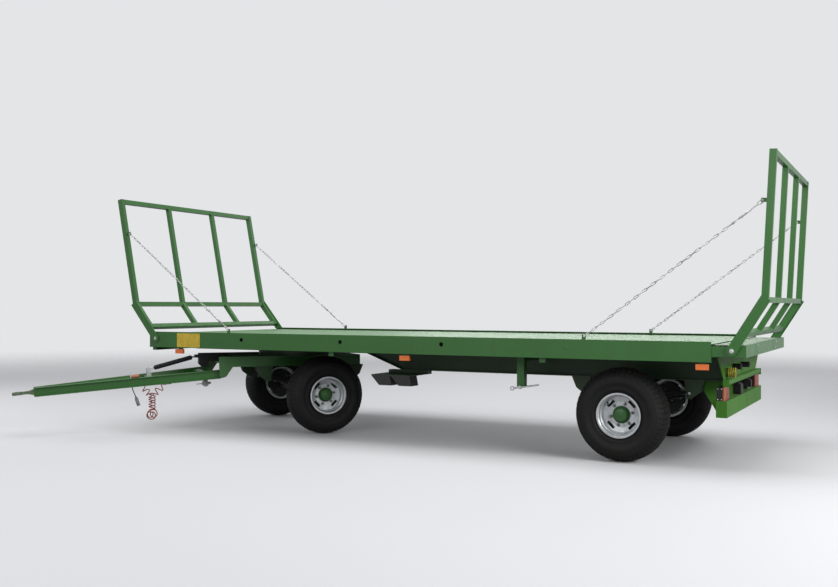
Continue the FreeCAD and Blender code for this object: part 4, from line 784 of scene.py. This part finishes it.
link_wire, link_inner = 0.0035, 0.009
eye_length, eye_wire, eye_inner = 0.056, 0.0042, 0.0125
upright = Matrix.Rotation(math.pi / 2, 4, "X")
bow_radius, bow_centre = 0.0125, 0.034
bow_points = [Vector((-bow_radius, 0, z)) for z in (0.000, 0.016, 0.032)] \
    + [Vector((bow_radius * math.sin(angle), 0, bow_centre + bow_radius * math.cos(angle)))
       for angle in (math.radians(a) for a in range(-75, 76, 15))] \
    + [Vector((bow_radius, 0, z)) for z in (0.032, 0.016, 0.000)]
bow = wound_tube("bow", bow_points, eye_wire, 8)
bow_pin = turned_mesh("bow_pin", [(0.0005, -0.024), (0.0085, -0.024), (0.0085, -0.018), (0.005, -0.018),
                                  (0.005, 0.018), (0.0075, 0.018), (0.0075, 0.023), (0.0005, 0.023)], 16)
rod_nut = hexagon_mesh("rod_nut", 0.021, 0.010, 0.0015, 0.0065, 0.001)
end_pin = turned_mesh("end_pin", [(0.0005, -0.012), (0.0085, -0.012), (0.0085, -0.007), (0.0055, -0.006),
                                  (0.0055, 0.0115), (0.011, 0.0115), (0.011, 0.016), (0.009, 0.0185),
                                  (0.0005, 0.0185)], 20)
anchor_x, anchor_y, anchor_z = 2.058, 1.225, 0.048
screw_radius, screw_length, pin_inset, twist_wander = 0.0065, 0.085, 0.007, 0.16
for end, way, top, rod_length, links in (("front", 1, (3.5491, 1.1824), 0.425, 29),
                                         ("rear", -1, (3.6357, 1.2320), 0.370, 33)):
    run, rise = top[0] - anchor_x, top[1] - anchor_z
    reach = math.hypot(run, rise)
    rod_low = 0 if way > 0 else reach - rod_length
    chain_low, chain_high = (rod_length, reach) if way > 0 else (0, rod_low)
    pitch = (chain_high - chain_low) / links
    link = link_mesh(pitch, link_wire, link_inner)
    eye = link_mesh(eye_length - 2 * eye_wire, eye_wire, eye_inner)
    screw_low, screw_high = rod_low + eye_length, rod_low + rod_length - eye_length
    body_low, body_high = screw_low + screw_length, screw_high - screw_length
    screw = turned_mesh("screw", [(0.0005, screw_low - 0.004), *threaded(screw_low, body_low, screw_radius),
                                  (0.0095, body_low), (0.0105, body_low + 0.004), (0.0105, body_high - 0.004),
                                  (0.0095, body_high), *threaded(body_high, screw_high, screw_radius),
                                  (0.0005, screw_high + 0.004)], 14)
    parts = []
    for side in (1, -1):
        base = Matrix.Translation((way * anchor_x, side * anchor_y, anchor_z)) \
            @ Matrix.Rotation(way * math.atan2(run, rise), 4, "Y") @ outward(side)
        for k in range(links):
            twist = math.pi / 2 * (k % 2) + (twist_wander * math.sin(2.4 * k) if 0 < k < links - 1 else 0)
            parts.append((link, base @ Matrix.Translation((0, 0, chain_low + (k + 0.5) * pitch))
                          @ Matrix.Rotation(twist, 4, "Z")))
        eye_middle = rod_low + eye_length / 2 if way > 0 else rod_low + rod_length - eye_length / 2
        parts.append((eye, base @ Matrix.Translation((0, 0, eye_middle))))
        parts.append((screw, base @ upright))
        for place in (body_low - 0.009, body_high, screw_low + 0.004, screw_high - 0.013):
            parts.append((rod_nut, base @ Matrix.Translation((0, 0, place)) @ upright))
        bow_at = Matrix.Translation((0, 0, screw_high + 0.006)) if way > 0 else \
            Matrix.Translation((0, 0, screw_low - 0.006)) @ Matrix.Rotation(math.pi, 4, "X")
        bow_at = base @ bow_at @ rearward
        parts += [(bow, bow_at), (bow_pin, bow_at @ rearward)]
        for place in (pin_inset, reach - pin_inset):
            parts.append((end_pin, base @ Matrix.Translation((0, 0, place))))
    chain = joined(f"{end}_chain_links", parts, chain_zinc)
    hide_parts(f"{end}_chains")
    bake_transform(chain)


# Rear extension and its guides: a green frame that slides in the rails. Below it hang the lamp panel, a round tube
# and the bumper, all welded to stays and sprayed a yellower green. Their upper faces are paled grey, partly dust and
# partly painted top light.
# The raised dust setting also paints the top light on the bumper's upper faces.
bumper_green = paint("bumper_green", srgb(66, 116, 40), streaks=0.05, dust=0.5, rough=0.5, shine=0.1)
painted(rail_green, "rear_extension", "extension_guides")
painted(bumper_green, "rear_frame", edge=0.0025)


# Tail lamps: flat lamps in black plastic housings, each held by four screws on its outer side.
# The lens is moulded in one piece: an amber outer third, and red for the rest, with fine upright flutes.
amber_from, amber_full, flutes_a_metre = 0.9121, 0.9160, 79.6


def lens_look(shade):
    across = shade.node("ShaderNodeSeparateXYZ", {}, {"Vector": shade.place()}, "Y")
    outer = (across * across).limited(amber_from ** 2, amber_full ** 2)
    flutes = shade.math("SINE", across * (2 * math.pi * flutes_a_metre))
    mottle = shade.noise(12)
    # The red and the amber are painted darker and browner than the plastic, as painted shade on the lens.
    base = shade.mixed(mottle.limited(0.4, 0.6), srgb(134, 52, 34), srgb(116, 44, 30))
    return {"Base Color": shade.mixed(outer, base, srgb(150, 78, 38)),
            "Specular IOR Level": 0.25,
            "Roughness": 0.36 + mottle * 0.1,
            "Normal": shade.bump(flutes, 0.00008)}


painted(material("lamp_red", lens_look), "tail_lamps", edge=0.0025)
painted(black_plastic, "lamp_housings", edge=0.002)
dome = turned_mesh("dome", [(0.0005, 0.0032), (0.0030, 0.0028), (0.0048, 0.0014), (0.0055, -0.0010)], 16)
housing_side_y = 1.0
fitted("lamp_screws", [part for x in (-3.213, -3.246) for z in (-0.404, -0.499)
                       for part in sideways(dome, x, housing_side_y, z)], zinc)


# Couplings at the rear, for a second trailer: moulded black sockets and boxes, screwed to the lamp panel.
# The brake coupling has a yellow plastic cap, moulded with ribs round it; between the ribs it is painted a darker
# yellow, as painted shade.
def cap_plastic(name, light, dark):
    """Moulded plastic between two colours."""
    def look(shade):
        grain = shade.noise(50, 3)
        return {"Base Color": shade.mixed(grain.limited(0.35, 0.7), light, dark),
                "Specular IOR Level": 0.3,
                "Roughness": 0.5 + grain * 0.15,
                "Normal": shade.bump(shade.noise(240, 2), 0.0003)}
    return material(name, look)


painted(black_plastic, "rear_fittings", edge=0.002)
# The cap's body between the ribs: the ribs' yellow painted darker, as painted shade in the grooves.
painted(cap_plastic("cap_painted_groove_shade", srgb(104, 98, 30), srgb(78, 74, 24)), "rear_coupling_cap", edge=0.002)
cap_y, cap_z, socket_face_x = 0.800, -0.268, -3.320
rib = turned_mesh("rib", [(0.0385, -0.0030), (0.0435, -0.0028), (0.0455, -0.0010), (0.0455, 0.0010),
                          (0.0435, 0.0028), (0.0385, 0.0030)], 40)
yellow = cap_plastic("yellow_plastic", srgb(206, 200, 86), srgb(176, 170, 72))
fitted("cap_ribs", [(rib, Matrix.Translation((x, cap_y, cap_z)) @ rearward)
                    for x in (-3.335, -3.317, -3.299, -3.281)], yellow)
socket_lid = turned_mesh("socket_lid", [(0.0270, 0), (0.0300, 0.001), (0.0305, 0.005), (0.0280, 0.008),
                                        (0.0120, 0.010), (0.0110, 0.014), (0.0005, 0.015)], 32)
fitted("socket_lids", [(socket_lid, Matrix.Translation((socket_face_x, y, z)) @ rearward)
                       for y, z in ((0.450, -0.232), (-0.020, -0.238))], black_plastic)


# Side markers: amber plastic reflectors, three on each side, moulded with small cells.
# They are fixed to tabs that hang under the rails.
def amber_look(shade):
    cells = shade.node("ShaderNodeTexVoronoi", {}, {"Vector": shade.place(), "Scale": 180.0})
    return {"Base Color": shade.mixed(cells, srgb(214, 100, 40), srgb(240, 130, 60)),
            "Roughness": 0.25,
            "Normal": shade.bump(cells, 0.0006)}


painted(material("amber", amber_look), "side_markers", edge=0.003)


# Parking brake column, air tank and wheel chocks: what hangs under the beams between the axles.
# The column is green with a zinc-plated crank, the tank is black, and the plastic chocks stand in a steel holder.
painted(rail_green, "parking_brake_column", edge=0.002)
painted(black_paint, "air_tank", edge=0.003)
# The holder is in the darker green of painted shade under the deck.
painted(under_green_painted_shade, "chock_holder")
painted(zinc, "crank_handle", edge=0.001)


def chock_look(shade):
    grain = shade.noise(50, 4)
    return {"Base Color": shade.mixed(grain.limited(0.35, 0.7), srgb(22, 22, 22), srgb(38, 38, 36)),
            "Roughness": 0.55 + grain * 0.2,
            "Normal": shade.bump(shade.noise(260, 3), 0.0004)}


painted(material("chock_plastic", chock_look), "wheel_chocks", edge=0.004)
